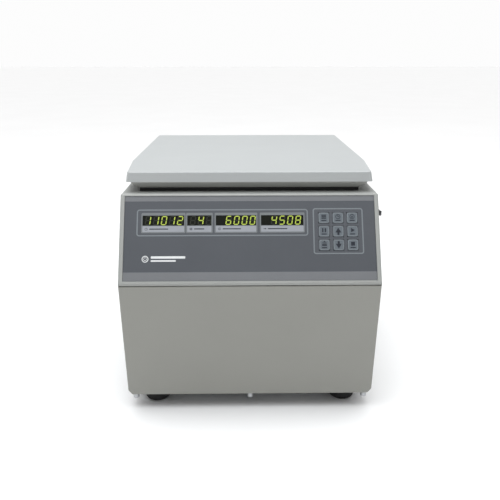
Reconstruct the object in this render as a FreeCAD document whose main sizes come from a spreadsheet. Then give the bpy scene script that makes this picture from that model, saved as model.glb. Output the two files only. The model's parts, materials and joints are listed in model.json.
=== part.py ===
"""A bench-top laboratory centrifuge, in millimetres.

+X is right, +Y is back and +Z is up. The origin is on the bench under the middle of the cabinet.
Each sub-part is one object of the document, sized by the cells of the sheet "dims".
"""
import FreeCAD, Part
import os
import re

import Sketcher

DIMENSIONS = {
    # Cabinet: a slanted control panel between the nose and the deck, over a front that leans back to the toe.
    "body_width": 420,
    "body_depth": 550,
    "body_base": 29,
    "nose_height": 243,
    "deck_height": 371,
    "deck_setback": 70,
    "toe_setback": 17.5,
    "wall": 3,
    "bevel_width": 7.5,
    "bevel_height": 10,
    "edge_round": 3,
    "nose_lip": 4,
    "nose_shelf": 12,
    "seam": 0.4,
    "pan_flange": 15,
    # Front cover: a pressed pan that closes the lower front.
    "cover_drop": 5.5,
    "cover_sheet": 2.5,
    "cover_flange": 14,
    "cover_screw_spread": 198,
    # Rear panel with its fan, vents and mains inlet.
    "rear_recess": 3,
    "fan_across": -118,
    "fan_up": 112,
    "fan_size": 92,
    "fan_bore": 43,
    "fan_depth": 25,
    "fan_hub": 18,
    "fan_gap": 1.5,
    "fan_strut": 4,
    "fan_blades": 7,
    "blade_pitch_angle": 28,
    "vent_across": 118,
    "vent_width": 110,
    "vent_slot": 5,
    "vent_pitch": 12,
    "vent_low": 180,
    "vent_rows": 12,
    "rear_screw_spread": 198,
    "rear_screw_low": 72,
    "rear_screw_high": 358,
    "inlet_across": 118,
    "inlet_up": 88,
    "inlet_flange_width": 50,
    "inlet_flange_height": 40,
    "inlet_flange_sheet": 2.5,
    "inlet_body_width": 30,
    "inlet_body_height": 34,
    "inlet_body_depth": 32,
    "socket_width": 24,
    "socket_height": 16.5,
    "socket_depth": 18,
    "socket_lift": 5,
    "blade_pitch": 7,
    "drawer_width": 22,
    "drawer_height": 8,
    "drawer_depth": 26,
    "drawer_drop": 11,
    # Feet
    "foot_spread": 166,
    "foot_front": -212,
    "foot_rear": 225,
    "foot_radius": 23.5,
    "sole_radius": 15,
    "foot_skirt": 13,
    "foot_toe": 5,
    "foot_round": 6,
    "counterbore": 6,
    "screw_shank": 2.5,
    # Control panel, in its own frame: across, up the slope and depth below the face.
    "overlay_half_width": 202.7,
    "overlay_low": 3.5,
    "overlay_high": 143,
    "overlay_depth": 1,
    "film": 0.6,
    "plate_back": 5,
    "plate_grip": 3.8,
    "window_low": 94,
    "window_height": 16.5,
    "timer_left": -173,
    "timer_width": 67,
    "program_left": -101,
    "program_width": 39,
    "speed_left": -55,
    "speed_width": 65,
    "force_left": 18,
    "force_width": 68.5,
    "board_depth": 13,
    "board_sheet": 1.6,
    "board_low": 42,
    "board_high": 124,
    "board_half_width": 188,
    "key_column": 119.5,
    "key_pitch": 23,
    "key_row": 61,
    "key_row_pitch": 22.3,
    "key_width": 17.2,
    "key_height": 17.5,
    "key_gap": 0.3,
    "key_proud": 0.7,
    "key_lip": 1,
    "key_stem": 2.5,
    "key_switch": 6,
    # Chamber, rotor and motor
    "bowl_across": 28,
    "bowl_radius": 150,
    "bowl_sheet": 1.5,
    "bowl_floor": 205,
    "bowl_flange": 10,
    "guard_radius": 157,
    "guard_sheet": 5,
    "boot_radius": 30,
    "motor_radius": 62,
    "motor_cavity": 55,
    "motor_plate_up": 76,
    "motor_plate_sheet": 5,
    "motor_plate_half": 100,
    "motor_top": 195,
    "damper_spread": 82,
    "damper_radius": 15,
    "bearing_radius": 17.5,
    "bearing_height": 11,
    "shaft_radius": 7.5,
    "running_gap": 0.04,
    "armature_radius": 34,
    "stator_gap": 0.8,
    "cone_low": 228,
    "cone_high": 268,
    "cone_low_radius": 16,
    "cone_high_radius": 10,
    "stud_radius": 5,
    "rotor_radius": 118,
    "rotor_low": 228,
    "rotor_top": 335,
    "rotor_top_radius": 80,
    "rotor_turn": 20,
    "tube_tilt": 30,
    "tube_mouth": 48,
    "tube_depth": 100,
    "tube_bore": 17,
    "sleeve_radius": 16.8,
    "sleeve_bore": 15,
    "nut_radius": 19,
    "nut_top": 356,
    # Lid
    "lid_top": 405,
    "lid_skirt": 16,
    "lid_sheet": 2,
    "lid_draft": 3,
    "lid_front": -193,
    "lid_front_half": 199,
    "lid_shoulder": -82,
    "lid_shoulder_half": 209.5,
    "lid_rear": 260,
    "lid_rear_half": 208.5,
    "liner_inset": 4.5,
    "liner_rear": 236,
    "liner_bevel_top": 386,
    "liner_bottom": 377,
    "liner_bevel_across": 17,
    "liner_bevel_front": 12,
    "liner_sheet": 2.5,
    "seal_width": 10,
    "seal_gap": 0.5,
    "hinge_back": 256,
    "hinge_up": 383,
    "rod_radius": 3,
    "rod_half": 175,
    "hinge_gap": 0.06,
    "knuckle_radius": 6.3,
    "arm_across": 150,
    "arm_half": 8,
    "ear_gap": 1,
    "ear_sheet": 4,
    "spring_inner": 3.6,
    "spring_outer": 5.6,
    "spring_length": 30,
    # Lid lock
    "latch_back": -165,
    "striker_sheet": 4,
    "striker_half": 12,
    "striker_low": 338,
    "striker_window_low": 344,
    "striker_window_high": 359.5,
    "striker_window_half": 8,
    "hook_pivot_up": 318,
    "hook_half": 5,
    "hook_pin": 3,
    "bracket_inner": 10,
    "bracket_sheet": 2.5,
    "bracket_low": 287,
    "bracket_front": -198,
    "bracket_rear": -147,
    "plunger_up": 302,
    "plunger_radius": 4,
    "tail_pin": 2,
    # Mains switch on the right wall
    "rocker_back": -196,
    "rocker_up": 337,
    "rocker_length": 24,
    "rocker_height": 15,
    "rocker_bezel": 3,
    "rocker_wall": 2,
}

WORD = re.compile(r"[a-z_]+")
START, END, CENTRE = 1, 2, 3
ORIGIN = -1
UPRIGHT = FreeCAD.Rotation()
ALONG_X = FreeCAD.Rotation(FreeCAD.Vector(0, 1, 0), 90)
ALONG_Y = FreeCAD.Rotation(FreeCAD.Vector(1, 0, 0), -90)

doc = FreeCAD.newDocument("laboratory_centrifuge")
sheet = doc.addObject("Spreadsheet::Sheet", "dims")
for row, (alias, number) in enumerate(DIMENSIONS.items(), 1):
    sheet.set("A%d" % row, alias)
    sheet.set("B%d" % row, str(number))
    sheet.setAlias("B%d" % row, alias)
doc.recompute()
nodes = []

# Places that several sub-parts share.
NOSE = "(-body_depth/2)"
DECK_FRONT = "(-body_depth/2+deck_setback)"
REAR = "(body_depth/2)"
HALF = "(body_width/2)"
INNER_HALF = "(body_width/2-wall)"
DECK_UNDER = "(deck_height-wall)"
WALL_FOOT = "(body_base+bevel_height)"
PANEL_LEAN = "(deck_setback/(deck_height-nose_height))"
PANEL_RUN = "sqrt(deck_setback^2+(deck_height-nose_height)^2)"
PANEL_ANGLE = "90deg-atan(deck_setback/(deck_height-nose_height))"
TOE_LEAN = "(toe_setback/(nose_height-body_base))"
REAR_FACE = "(body_depth/2-rear_recess)"
REAR_INNER = "(body_depth/2-rear_recess-wall)"
COVER_SCREWS = ("-cover_screw_spread", "0", "cover_screw_spread")
LINER_SIDES = ("liner_inset", "liner_inset")
LINER_FOOT = ("liner_bevel_across", "liner_bevel_front")


# ---- Sheet and sketch helpers ----

def value(expression):
    """Work an expression out from the sheet's numbers."""
    result = sheet.evalExpression(str(expression))
    return float(getattr(result, "Value", result))


def bound(expression):
    """The same expression, reading each alias from the sheet."""
    return WORD.sub(lambda found: "dims." * (found.group() in DIMENSIONS) + found.group(), str(expression))


def bind(thing, **sizes):
    """Bind properties to expressions; a double underscore in a name stands for a dot."""
    for name, expression in sizes.items():
        thing.setExpression(name.replace("__", "."), bound(expression))


def place(thing, x="0", y="0", z="0", turn=UPRIGHT):
    """Place an object, with its position bound to the sheet."""
    thing.Placement = FreeCAD.Placement(FreeCAD.Vector(value(x), value(y), value(z)), turn)
    bind(thing, Placement__Base__x=x, Placement__Base__y=y, Placement__Base__z=z)
    return thing


def node(thing, name):
    """Name a finished sub-part."""
    thing.Label = name
    nodes.append(thing)
    return thing


def new_body(name):
    return doc.addObject("PartDesign::Body", name + "_body")


def pin(sketch, geometry, point, x, y):
    """Hold a point of a sketch at bound distances from the sketch's origin."""
    for kind, expression in (("DistanceX", x), ("DistanceY", y)):
        rule = Sketcher.Constraint(kind, ORIGIN, START, geometry, point, value(expression))
        number = sketch.addConstraint(rule)
        sketch.setExpression("Constraints[%d]" % number, bound(expression))


def polygon(points):
    """An outline of straight lines through bound points."""
    def draw(sketch):
        first = sketch.GeometryCount
        corners = [FreeCAD.Vector(value(x), value(y), 0) for x, y in points]
        for corner, following in zip(corners, corners[1:] + corners[:1]):
            sketch.addGeometry(Part.LineSegment(corner, following))
        for index in range(len(points)):
            following = first + (index + 1) % len(points)
            sketch.addConstraint(Sketcher.Constraint("Coincident", first + index, END, following, START))
        for index, (x, y) in enumerate(points):
            pin(sketch, first + index, START, x, y)
    return draw


def rectangle(left, low, right, high):
    return polygon([(left, low), (right, low), (right, high), (left, high)])


def mirrored(points):
    """Points of one half of an outline, followed by their mirror images in x."""
    return points + [("-(%s)" % x, y) for x, y in reversed(points)]


def circle(x, y, radius):
    """A bound circle."""
    def draw(sketch):
        middle = FreeCAD.Vector(value(x), value(y), 0)
        number = sketch.addGeometry(Part.Circle(middle, FreeCAD.Vector(0, 0, 1), value(radius)))
        pin(sketch, number, CENTRE, x, y)
        size = sketch.addConstraint(Sketcher.Constraint("Radius", number, value(radius)))
        sketch.setExpression("Constraints[%d]" % size, bound(radius))
    return draw


def draw_on(body, name, plane, lift, outlines):
    """A sketch on one of the body's origin planes, raised along the plane's normal."""
    sketch = body.newObject("Sketcher::SketchObject", name + "_sketch")
    origin_plane = [found for found in body.Origin.OriginFeatures if found.Role == plane + "_Plane"][0]
    sketch.AttachmentSupport = [(origin_plane, "")]
    sketch.MapMode = "FlatFace"
    bind(sketch, AttachmentOffset__Base__z=lift)
    for outline in outlines:
        outline(sketch)
    return sketch


def add(body, name, plane, low, high, *outlines):
    """Add material over outlines, between two heights along the plane's axis."""
    lift = "-(%s)" % high if plane == "XZ" else low
    pad = body.newObject("PartDesign::Pad", name)
    pad.Profile = draw_on(body, name, plane, lift, outlines)
    bind(pad, Length="(%s)-(%s)" % (high, low))
    return pad


def remove(body, name, plane, low, high, *outlines):
    """Cut material over outlines, between two heights along the plane's axis."""
    lift = "-(%s)" % low if plane == "XZ" else high
    pocket = body.newObject("PartDesign::Pocket", name)
    pocket.Profile = draw_on(body, name, plane, lift, outlines)
    bind(pocket, Length="(%s)-(%s)" % (high, low))
    return pocket


def turn(body, name, kind, points):
    """Revolve a profile of (radius, height) points about the body's vertical axis."""
    feature = body.newObject("PartDesign::" + kind, name)
    feature.Profile = draw_on(body, name, "XZ", "0", [polygon(points)])
    feature.ReferenceAxis = (feature.Profile[0], ["V_Axis"])
    feature.Angle = 360
    return feature


def loft(body, name, kind, low, low_points, high, high_points):
    """Join two level outlines at two heights."""
    feature = body.newObject("PartDesign::" + kind, name)
    feature.Profile = draw_on(body, name + "_low", "XY", low, [polygon(low_points)])
    feature.Sections = [draw_on(body, name + "_high", "XY", high, [polygon(high_points)])]
    feature.Ruled = True
    return feature


def rounded(body, name, radius, wanted):
    """Round the edges of the body that the test picks out."""
    doc.recompute()
    base = body.Tip
    edges = ["Edge%d" % n for n, edge in enumerate(base.Shape.Edges, 1) if wanted(edge)]
    fillet = body.newObject("PartDesign::Fillet", name)
    fillet.Base = (base, edges)
    bind(fillet, Radius=radius)
    return fillet


def spans(edge, axis):
    """Whether an edge runs mostly along one axis."""
    box = edge.BoundBox
    lengths = {"x": box.XLength, "y": box.YLength, "z": box.ZLength}
    return lengths[axis] > 0.9 * max(edge.Length, 1)


# ---- Solid helpers ----

def rod(name, start, length, radius, turn_to=UPRIGHT):
    """A round bar from a bound start point."""
    bar = doc.addObject("Part::Cylinder", name)
    bind(bar, Radius=radius, Height=length)
    return place(bar, *start, turn_to)


def cut(name, base, tool):
    result = doc.addObject("Part::Cut", name)
    result.Base = base
    result.Tool = tool
    return result


def fuse(name, *pieces):
    result = doc.addObject("Part::MultiFuse", name)
    result.Shapes = list(pieces)
    return result


def group(name, *pieces):
    """Separate solids that share one node."""
    result = doc.addObject("Part::Compound", name)
    result.Links = list(pieces)
    return result


def tube(name, start, length, outer, inner, turn_to=UPRIGHT):
    outside = rod(name + "_outside", start, length, outer, turn_to)
    inside = rod(name + "_inside", start, length, inner, turn_to)
    return cut(name, outside, inside)


def on_panel(thing):
    """Stand a thing in the control panel's frame: x across, y up the slope, z out of the face."""
    lean = FreeCAD.Rotation(FreeCAD.Vector(1, 0, 0), value(PANEL_ANGLE))
    place(thing, "0", NOSE, "nose_height", lean)
    bind(thing, Placement__Rotation__Angle=PANEL_ANGLE)
    return thing


# ---- Cabinet ----

def toe_line(height, behind="0"):
    """The y of the lower front at a height, plus a distance behind it."""
    return "%s+(nose_height-(%s))*%s+(%s)" % (NOSE, height, TOE_LEAN, behind)


def outer_housing():
    """Side walls, deck and the frame around the control panel, in one folded shell."""
    body = new_body("outer_housing")
    outside = [(NOSE, "nose_height"), (DECK_FRONT, "deck_height"), (REAR, "deck_height"),
               (REAR, WALL_FOOT), (toe_line(WALL_FOOT), WALL_FOOT)]
    add(body, "shell", "YZ", "-body_width/2", "body_width/2", polygon(outside))
    top, front = value("deck_height"), value(DECK_FRONT)

    def outer_edge(edge):
        box = edge.BoundBox
        along_deck = spans(edge, "y") and box.ZMin > top - 1
        along_front = spans(edge, "x") and box.ZMin > top - 1 and box.YMax < front + 1
        beside_panel = edge.Length < value(PANEL_RUN) + 1 and box.ZMax > top - 1 and box.YLength > 10
        return along_deck or along_front or beside_panel

    rounded(body, "folds", "edge_round", outer_edge)
    shelf_top = "nose_height-nose_lip+wall"
    slant = "wall*sqrt(1+%s^2)" % PANEL_LEAN
    inner_nose = "%s+(nose_lip-wall)*-1*%s+%s" % (NOSE, PANEL_LEAN, slant)
    inner_deck = "%s-wall*%s+%s" % (DECK_FRONT, PANEL_LEAN, slant)
    inside = [(inner_nose, shelf_top), (inner_deck, DECK_UNDER),
              (REAR + "+1", DECK_UNDER), (REAR + "+1", "body_base"),
              (NOSE + "+nose_shelf", "body_base"), (NOSE + "+nose_shelf", shelf_top)]
    remove(body, "hollow", "YZ", "-" + INNER_HALF, INNER_HALF, polygon(inside))
    lip = "nose_height-nose_lip"
    behind = "cover_flange+seam"
    front_cut = [(NOSE + "-1", lip), (toe_line(lip, behind), lip),
                 (toe_line("body_base", behind), "body_base"), (NOSE + "-1", "body_base")]
    remove(body, "front_opening", "YZ", "-" + HALF + "-1", HALF + "+1", polygon(front_cut))
    remove(body, "chamber_mouth", "XY", DECK_UNDER + "-1", "deck_height+1",
           circle("0", "bowl_across", "bowl_radius"))
    slot = ("latch_back-striker_sheet/2-4", "latch_back+striker_sheet/2+4")
    remove(body, "striker_slot", "XY", DECK_UNDER + "-1", "deck_height+1",
           rectangle("-striker_half-3", slot[0], "striker_half+3", slot[1]))
    remove(body, "switch_hole", "YZ", INNER_HALF + "-1", HALF + "+1", switch_outline("-1.5"))
    opening = remove(body, "panel_opening", "XY", "-wall-2", "wall",
                     rectangle("-overlay_half_width", "overlay_low", "overlay_half_width", "overlay_high"))
    lean_sketch(opening)
    node(body, "outer_housing")


def lean_sketch(feature):
    """Lay a level feature's sketch on the slope of the control panel, raised by the wall's thickness."""
    sketch = feature.Profile[0]
    lean = FreeCAD.Rotation(FreeCAD.Vector(1, 0, 0), value(PANEL_ANGLE))
    sketch.AttachmentOffset = FreeCAD.Placement(FreeCAD.Vector(), lean)
    rise = "wall/sqrt(1+%s^2)" % PANEL_LEAN
    bind(sketch, AttachmentOffset__Base__y="%s-%s" % (NOSE, rise),
         AttachmentOffset__Base__z="nose_height+%s*%s" % (rise, PANEL_LEAN),
         AttachmentOffset__Rotation__Angle=PANEL_ANGLE)


def switch_outline(grow):
    """The mains switch's rectangle on the right wall, grown all round."""
    return rectangle("rocker_back-rocker_length/2-(%s)" % grow, "rocker_up-rocker_height/2-(%s)" % grow,
                     "rocker_back+rocker_length/2+(%s)" % grow, "rocker_up+rocker_height/2+(%s)" % grow)


def front_cover():
    """A pressed pan with bevelled lower corners, in a frame that leans with the lower front."""
    body = new_body("front_cover")
    run = "(nose_height-body_base-cover_drop)*sqrt(1+%s^2)" % TOE_LEAN

    def outline(inset):
        return mirrored([(HALF + "-bevel_width-%s*0.4" % inset, inset),
                         (HALF + "-" + inset, "bevel_height+%s*0.3" % inset),
                         (HALF + "-" + inset, "%s-%s" % (run, inset))])

    add(body, "pan", "XY", "-cover_flange", "0", polygon(outline("0")))
    lower_edges = value("cover_flange") + 1
    rounded(body, "soft_edges", "2", lambda edge: edge.BoundBox.ZMin > -0.1 and edge.Length > lower_edges)
    remove(body, "hollow", "XY", "-cover_flange-1", "-cover_sheet", polygon(outline("cover_sheet")))
    holes = [circle(x, "-cover_flange/2", "screw_shank") for x in COVER_SCREWS]
    remove(body, "screw_holes", "XZ", "-1", "cover_sheet+1", *holes)
    angle = "90deg+atan(%s)" % TOE_LEAN
    place(body, "0", toe_line("body_base"), "body_base",
          FreeCAD.Rotation(FreeCAD.Vector(1, 0, 0), value(angle)))
    bind(body, Placement__Rotation__Angle=angle)
    node(body, "front_cover")


def base_pan():
    """The floor of the cabinet, with bevelled sides and flanges inside the side walls."""
    body = new_body("base_pan")
    floor_top = "body_base+wall"
    half_profile = [(HALF + "-bevel_width", "body_base"), (HALF, WALL_FOOT),
                    (INNER_HALF + "-0.2", WALL_FOOT), (INNER_HALF + "-0.2", WALL_FOOT + "+pan_flange"),
                    (INNER_HALF + "-wall-0.2", WALL_FOOT + "+pan_flange"),
                    (INNER_HALF + "-wall-0.2", WALL_FOOT + "-1.5"), (HALF + "-bevel_width-2.8", floor_top)]
    add(body, "floor", "XZ", toe_line("body_base", "cover_flange+seam"), REAR,
        polygon(mirrored(half_profile)))
    screws = [circle(x, y, "screw_shank") for x, y in foot_places()]
    remove(body, "foot_holes", "XY", "body_base-1", floor_top + "+1", *screws)
    node(body, "base_pan")


def foot_places():
    return [(x, y) for x in ("-foot_spread", "foot_spread") for y in ("foot_front", "foot_rear")]


def rubber_feet():
    """Four domed feet with a recess for their screws."""
    feet = []
    for number, (x, y) in enumerate(foot_places()):
        body = new_body("foot_%d" % number)
        waist = "body_base-foot_skirt"
        turn(body, "dome_%d" % number, "Revolution",
             [("screw_shank", "body_base"), ("foot_radius", "body_base"), ("foot_radius", waist),
              ("(foot_radius+sole_radius)/2+1.5", "foot_toe"), ("sole_radius", "0"), ("counterbore", "0"),
              ("counterbore", "body_base/2"), ("screw_shank", "body_base/2")])
        rims = (value(waist), value("foot_toe"))
        rounded(body, "crown_%d" % number, "foot_round", lambda edge: edge.BoundBox.ZLength < 0.1 and any(
            abs(edge.BoundBox.ZMin - rim) < 0.1 for rim in rims))
        feet.append(place(body, x, y))
    node(group("feet", *feet), "rubber_feet")


def screw(name, start, head, head_length, shank_length, turn_to=UPRIGHT, shank="screw_shank-0.2"):
    """A screw whose head stands on the start point, with its shank beyond the head."""
    cap = rod(name + "_head", start, head_length, head, turn_to)
    step = turn_to.multVec(FreeCAD.Vector(0, 0, 1))
    offsets = ["(%s)+(%s)*%d" % (at, head_length, round(along)) for at, along in zip(start, step)]
    stem = rod(name + "_shank", offsets, shank_length, shank, turn_to)
    return fuse(name, cap, stem)


def screws_group(name, starts, *sizes, **options):
    node(group(name + "_set", *[screw("%s_%d" % (name, n), start, *sizes, **options)
                                for n, start in enumerate(starts)]), name)


def cabinet_screws():
    """The feet's screws, the front cover's screws and the rear panel's screws."""
    foot_heads = [(x, y, "body_base/2-3") for x, y in foot_places()]
    screws_group("foot_screws", foot_heads, "5", "3", "body_base/2+wall+3")
    cover_y = toe_line("body_base", "cover_flange/2")
    cover_heads = [(x, cover_y, "body_base-8.5") for x in COVER_SCREWS]
    screws_group("front_cover_screws", cover_heads, "5", "8.5", "10")
    rear_heads = [(x, REAR_FACE + "+1.6", z) for x, z in rear_screw_places()]
    back = FreeCAD.Rotation(FreeCAD.Vector(1, 0, 0), 90)
    screws_group("rear_panel_screws", rear_heads, "3.5", "1.6", "8", turn_to=back, shank="1.5")


def rear_screw_places():
    return [(x, z) for x in ("-rear_screw_spread", "0", "rear_screw_spread")
            for z in ("rear_screw_low", "rear_screw_high")]


def rear_panel():
    """The recessed back sheet, with a fan opening, vent slots, the inlet's cut-out and screw holes."""
    body = new_body("rear_panel")
    flange_top = WALL_FOOT + "+pan_flange+0.4"
    half_profile = [(HALF + "-bevel_width-3.6", "body_base+wall+0.2"),
                    (INNER_HALF + "-wall-0.6", WALL_FOOT),
                    (INNER_HALF + "-wall-0.6", flange_top), (INNER_HALF + "-0.3", flange_top),
                    (INNER_HALF + "-0.3", DECK_UNDER + "-0.3")]
    add(body, "sheet", "XZ", REAR_INNER, REAR_FACE, polygon(mirrored(half_profile)))
    through = (REAR_INNER + "-1", REAR_FACE + "+1")
    remove(body, "fan_hole", "XZ", *through, circle("fan_across", "fan_up", "fan_bore-1"))
    half = "(inlet_body_%s/2+0.3)"
    remove(body, "inlet_hole", "XZ", *through,
           rectangle("inlet_across-" + half % "width", "inlet_up-" + half % "height",
                     "inlet_across+" + half % "width", "inlet_up+" + half % "height"))
    slots = []
    for side in ("vent_across", "-vent_across"):
        for row in range(round(value("vent_rows"))):
            low = "vent_low+%d*vent_pitch" % row
            slots.append(rectangle(side + "-vent_width/2", low, side + "+vent_width/2", low + "+vent_slot"))
    remove(body, "vents", "XZ", *through, *slots)
    holes = [circle(x, z, "1.6") for x, z in rear_screw_places()]
    remove(body, "screw_holes", "XZ", *through, *holes)
    node(body, "rear_panel")


# ---- Rear fittings ----

def fan():
    """An axial fan behind the rear panel, its impeller and the wire guard outside."""
    body = new_body("fan_frame")
    half = "fan_size/2"
    near = REAR_INNER + "-fan_depth"
    add(body, "frame", "XZ", near, REAR_INNER,
        rectangle("fan_across-" + half, "fan_up-" + half, "fan_across+" + half, "fan_up+" + half))
    remove(body, "bore", "XZ", near + "-1", REAR_INNER + "+1", circle("fan_across", "fan_up", "fan_bore"))
    add(body, "struts_flat", "XZ", near, near + "+fan_strut",
        rectangle("fan_across-fan_bore-1", "fan_up-3", "fan_across+fan_bore+1", "fan_up+3"))
    add(body, "struts_upright", "XZ", near, near + "+fan_strut",
        rectangle("fan_across-3", "fan_up-fan_bore-1", "fan_across+3", "fan_up+fan_bore+1"))
    add(body, "motor_seat", "XZ", near, near + "+fan_strut", circle("fan_across", "fan_up", "fan_hub"))
    node(body, "fan_frame")
    blade_start = near + "+fan_strut+1"
    hub = rod("fan_hub_disc", ("0", "0", "0"), "fan_depth-fan_strut-3", "fan_hub")
    pieces = [hub]
    blades = round(value("fan_blades"))
    pitch = FreeCAD.Rotation(FreeCAD.Vector(1, 0, 0), value("blade_pitch_angle"))
    for number in range(blades):
        blade = doc.addObject("Part::Box", "fan_blade_%d" % number)
        bind(blade, Length="fan_bore-fan_gap-fan_hub+2", Width="2", Height="fan_depth-fan_strut-6")
        spin = FreeCAD.Rotation(FreeCAD.Vector(0, 0, 1), number * 360.0 / blades)
        blade.Placement = FreeCAD.Placement(spin.multVec(FreeCAD.Vector(value("fan_hub-2"), 4, 1)),
                                            spin * pitch)
        pieces.append(blade)
    reach = rod("fan_reach", ("0", "0", "0"), "fan_depth-fan_strut-3", "fan_bore-fan_gap")
    impeller = doc.addObject("Part::Common", "impeller")
    impeller.Base = fuse("impeller_rough", *pieces)
    impeller.Tool = reach
    place(impeller, "fan_across", blade_start, "fan_up", ALONG_Y)
    node(impeller, "fan_impeller")
    wires = []
    for number, radius in enumerate(("fan_bore-2", "fan_bore-12", "fan_bore-22", "fan_bore-32")):
        ring = doc.addObject("Part::Torus", "guard_ring_%d" % number)
        bind(ring, Radius1=radius, Radius2="1")
        wires.append(place(ring, "fan_across", REAR_FACE + "+1.4", "fan_up", ALONG_Y))
    bar_reach = "fan_bore+2"
    wires.append(rod("guard_bar_flat", ("fan_across-(%s)" % bar_reach, REAR_FACE + "+1.4", "fan_up"),
                     "2*(%s)" % bar_reach, "1", ALONG_X))
    wires.append(rod("guard_bar_upright", ("fan_across", REAR_FACE + "+1.4", "fan_up-(%s)" % bar_reach),
                     "2*(%s)" % bar_reach, "1"))
    node(fuse("guard_wires", *wires), "fan_guard")


def power_inlet():
    """A mains inlet with three blades, over a small drawer for its fuse."""
    body = new_body("power_inlet")
    face = REAR_FACE + "+inlet_flange_sheet"
    deep = REAR_FACE + "-inlet_body_depth"

    def around(width, height, lift="0"):
        middle = "inlet_up+(%s)" % lift
        return rectangle("inlet_across-(%s)/2" % width, "%s-(%s)/2" % (middle, height),
                         "inlet_across+(%s)/2" % width, "%s+(%s)/2" % (middle, height))

    add(body, "flange", "XZ", REAR_FACE, face, around("inlet_flange_width", "inlet_flange_height"))
    add(body, "case", "XZ", deep, REAR_FACE, around("inlet_body_width", "inlet_body_height"))
    remove(body, "socket", "XZ", face + "-socket_depth", face + "+1",
           around("socket_width", "socket_height", "socket_lift"))
    remove(body, "drawer_slot", "XZ", face + "-drawer_depth-1", face + "+1",
           around("drawer_width+0.8", "drawer_height+0.8", "-drawer_drop"))
    blades = [rectangle("inlet_across+%s-1" % x, "inlet_up+socket_lift+%s-2" % z, "inlet_across+%s+1" % x,
                        "inlet_up+socket_lift+%s+2" % z) for x, z in
              (("-blade_pitch", "2"), ("0", "-2"), ("blade_pitch", "2"))]
    add(body, "blades", "XZ", face + "-socket_depth-1", face + "-5", *blades)
    node(body, "power_inlet")
    drawer = new_body("fuse_drawer")
    add(drawer, "tray", "XZ", face + "-drawer_depth", face + "+0.2",
        around("drawer_width", "drawer_height", "-drawer_drop"))
    remove(drawer, "fuse_bed", "XZ", face + "-drawer_depth+2", face + "-2",
           around("drawer_width-3", "drawer_height-3", "-drawer_drop+1.6"))
    add(drawer, "pull", "XZ", face + "+0.2", face + "+1.4", around("drawer_width", "1.6", "-drawer_drop+2"))
    node(drawer, "fuse_drawer")


def power_switch():
    """A rocker switch in the right wall, near the deck's front."""
    frame = new_body("switch_frame")
    add(frame, "bezel", "YZ", HALF, HALF + "+rocker_bezel", switch_outline("0"))
    add(frame, "case", "YZ", HALF + "-wall-16", HALF, switch_outline("-2"))
    well = "-rocker_wall-0.6"
    remove(frame, "well", "YZ", HALF + "-wall-10", HALF + "+rocker_bezel+1", switch_outline(well))
    node(frame, "power_switch_frame")
    rocker = new_body("switch_rocker")
    ends = "rocker_length/2-rocker_wall-2.7"
    profile = [("rocker_back-(%s)" % ends, HALF + "+rocker_bezel+5"),
               ("rocker_back", HALF + "+rocker_bezel+1.2"),
               ("rocker_back+(%s)" % ends, HALF + "+rocker_bezel+1.65"),
               ("rocker_back+4", HALF + "-5"), ("rocker_back-4", HALF + "-5")]
    lower = "rocker_up-rocker_height/2+rocker_wall+1.4"
    upper = "rocker_up+rocker_height/2-rocker_wall-1.4"
    add(rocker, "paddle", "XY", lower, upper, polygon([(x, y) for y, x in profile]))
    node(rocker, "power_switch_rocker")


# ---- Control panel ----

def window_outlines(grow="0"):
    """The four display windows, grown all round."""
    low, high = "window_low-(%s)" % grow, "window_low+window_height+(%s)" % grow
    return [rectangle("%s_left-(%s)" % (name, grow), low, "{0}_left+{0}_width+({1})".format(name, grow),
                      high)
            for name in ("timer", "program", "speed", "force")]


def key_centres():
    return [("key_column+%d*key_pitch" % column, "key_row+%d*key_row_pitch" % row)
            for row in (2, 1, 0) for column in (0, 1, 2)]


def key_outline(x, y, grow):
    return rectangle("%s-key_width/2-(%s)" % (x, grow), "%s-key_height/2-(%s)" % (y, grow),
                     "%s+key_width/2+(%s)" % (x, grow), "%s+key_height/2+(%s)" % (y, grow))


def key_outlines(grow):
    return [key_outline(x, y, grow) for x, y in key_centres()]


def control_panel():
    """The stiff plate behind the panel opening, the printed overlay and the four display windows."""
    plate = new_body("panel_plate")
    front = "-overlay_depth-film"
    side = "overlay_half_width-0.3"
    add(plate, "face", "XY", "-wall", front,
        rectangle("-(%s)" % side, "overlay_low+0.3", side, "overlay_high-0.3"))
    wide = "overlay_half_width+plate_grip"
    add(plate, "back", "XY", "-plate_back", "-wall",
        rectangle("-(%s)" % wide, "overlay_low+0.3", wide, "overlay_high-0.3"))
    remove(plate, "windows", "XY", "-plate_back-1", front + "+1", *window_outlines("0.2"),
           *key_outlines("key_gap"))
    node(on_panel(plate), "panel_plate")
    overlay = new_body("control_overlay")
    add(overlay, "film_sheet", "XY", front, "-overlay_depth",
        rectangle("-(%s)" % side, "overlay_low+0.3", side, "overlay_high-0.3"))
    remove(overlay, "openings", "XY", front + "-1", "0", *window_outlines("0.2"), *key_outlines("key_gap"))
    node(on_panel(overlay), "control_overlay")
    lenses = new_body("display_lenses")
    lenses.AllowCompound = True
    add(lenses, "panes", "XY", "-plate_back+0.4", "-overlay_depth-0.2", *window_outlines())
    node(on_panel(lenses), "display_lenses")
    modules = new_body("led_modules")
    modules.AllowCompound = True
    add(modules, "digit_blocks", "XY", "-board_depth", "-plate_back-0.3", *window_outlines("1"))
    node(on_panel(modules), "led_display_modules")


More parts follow.
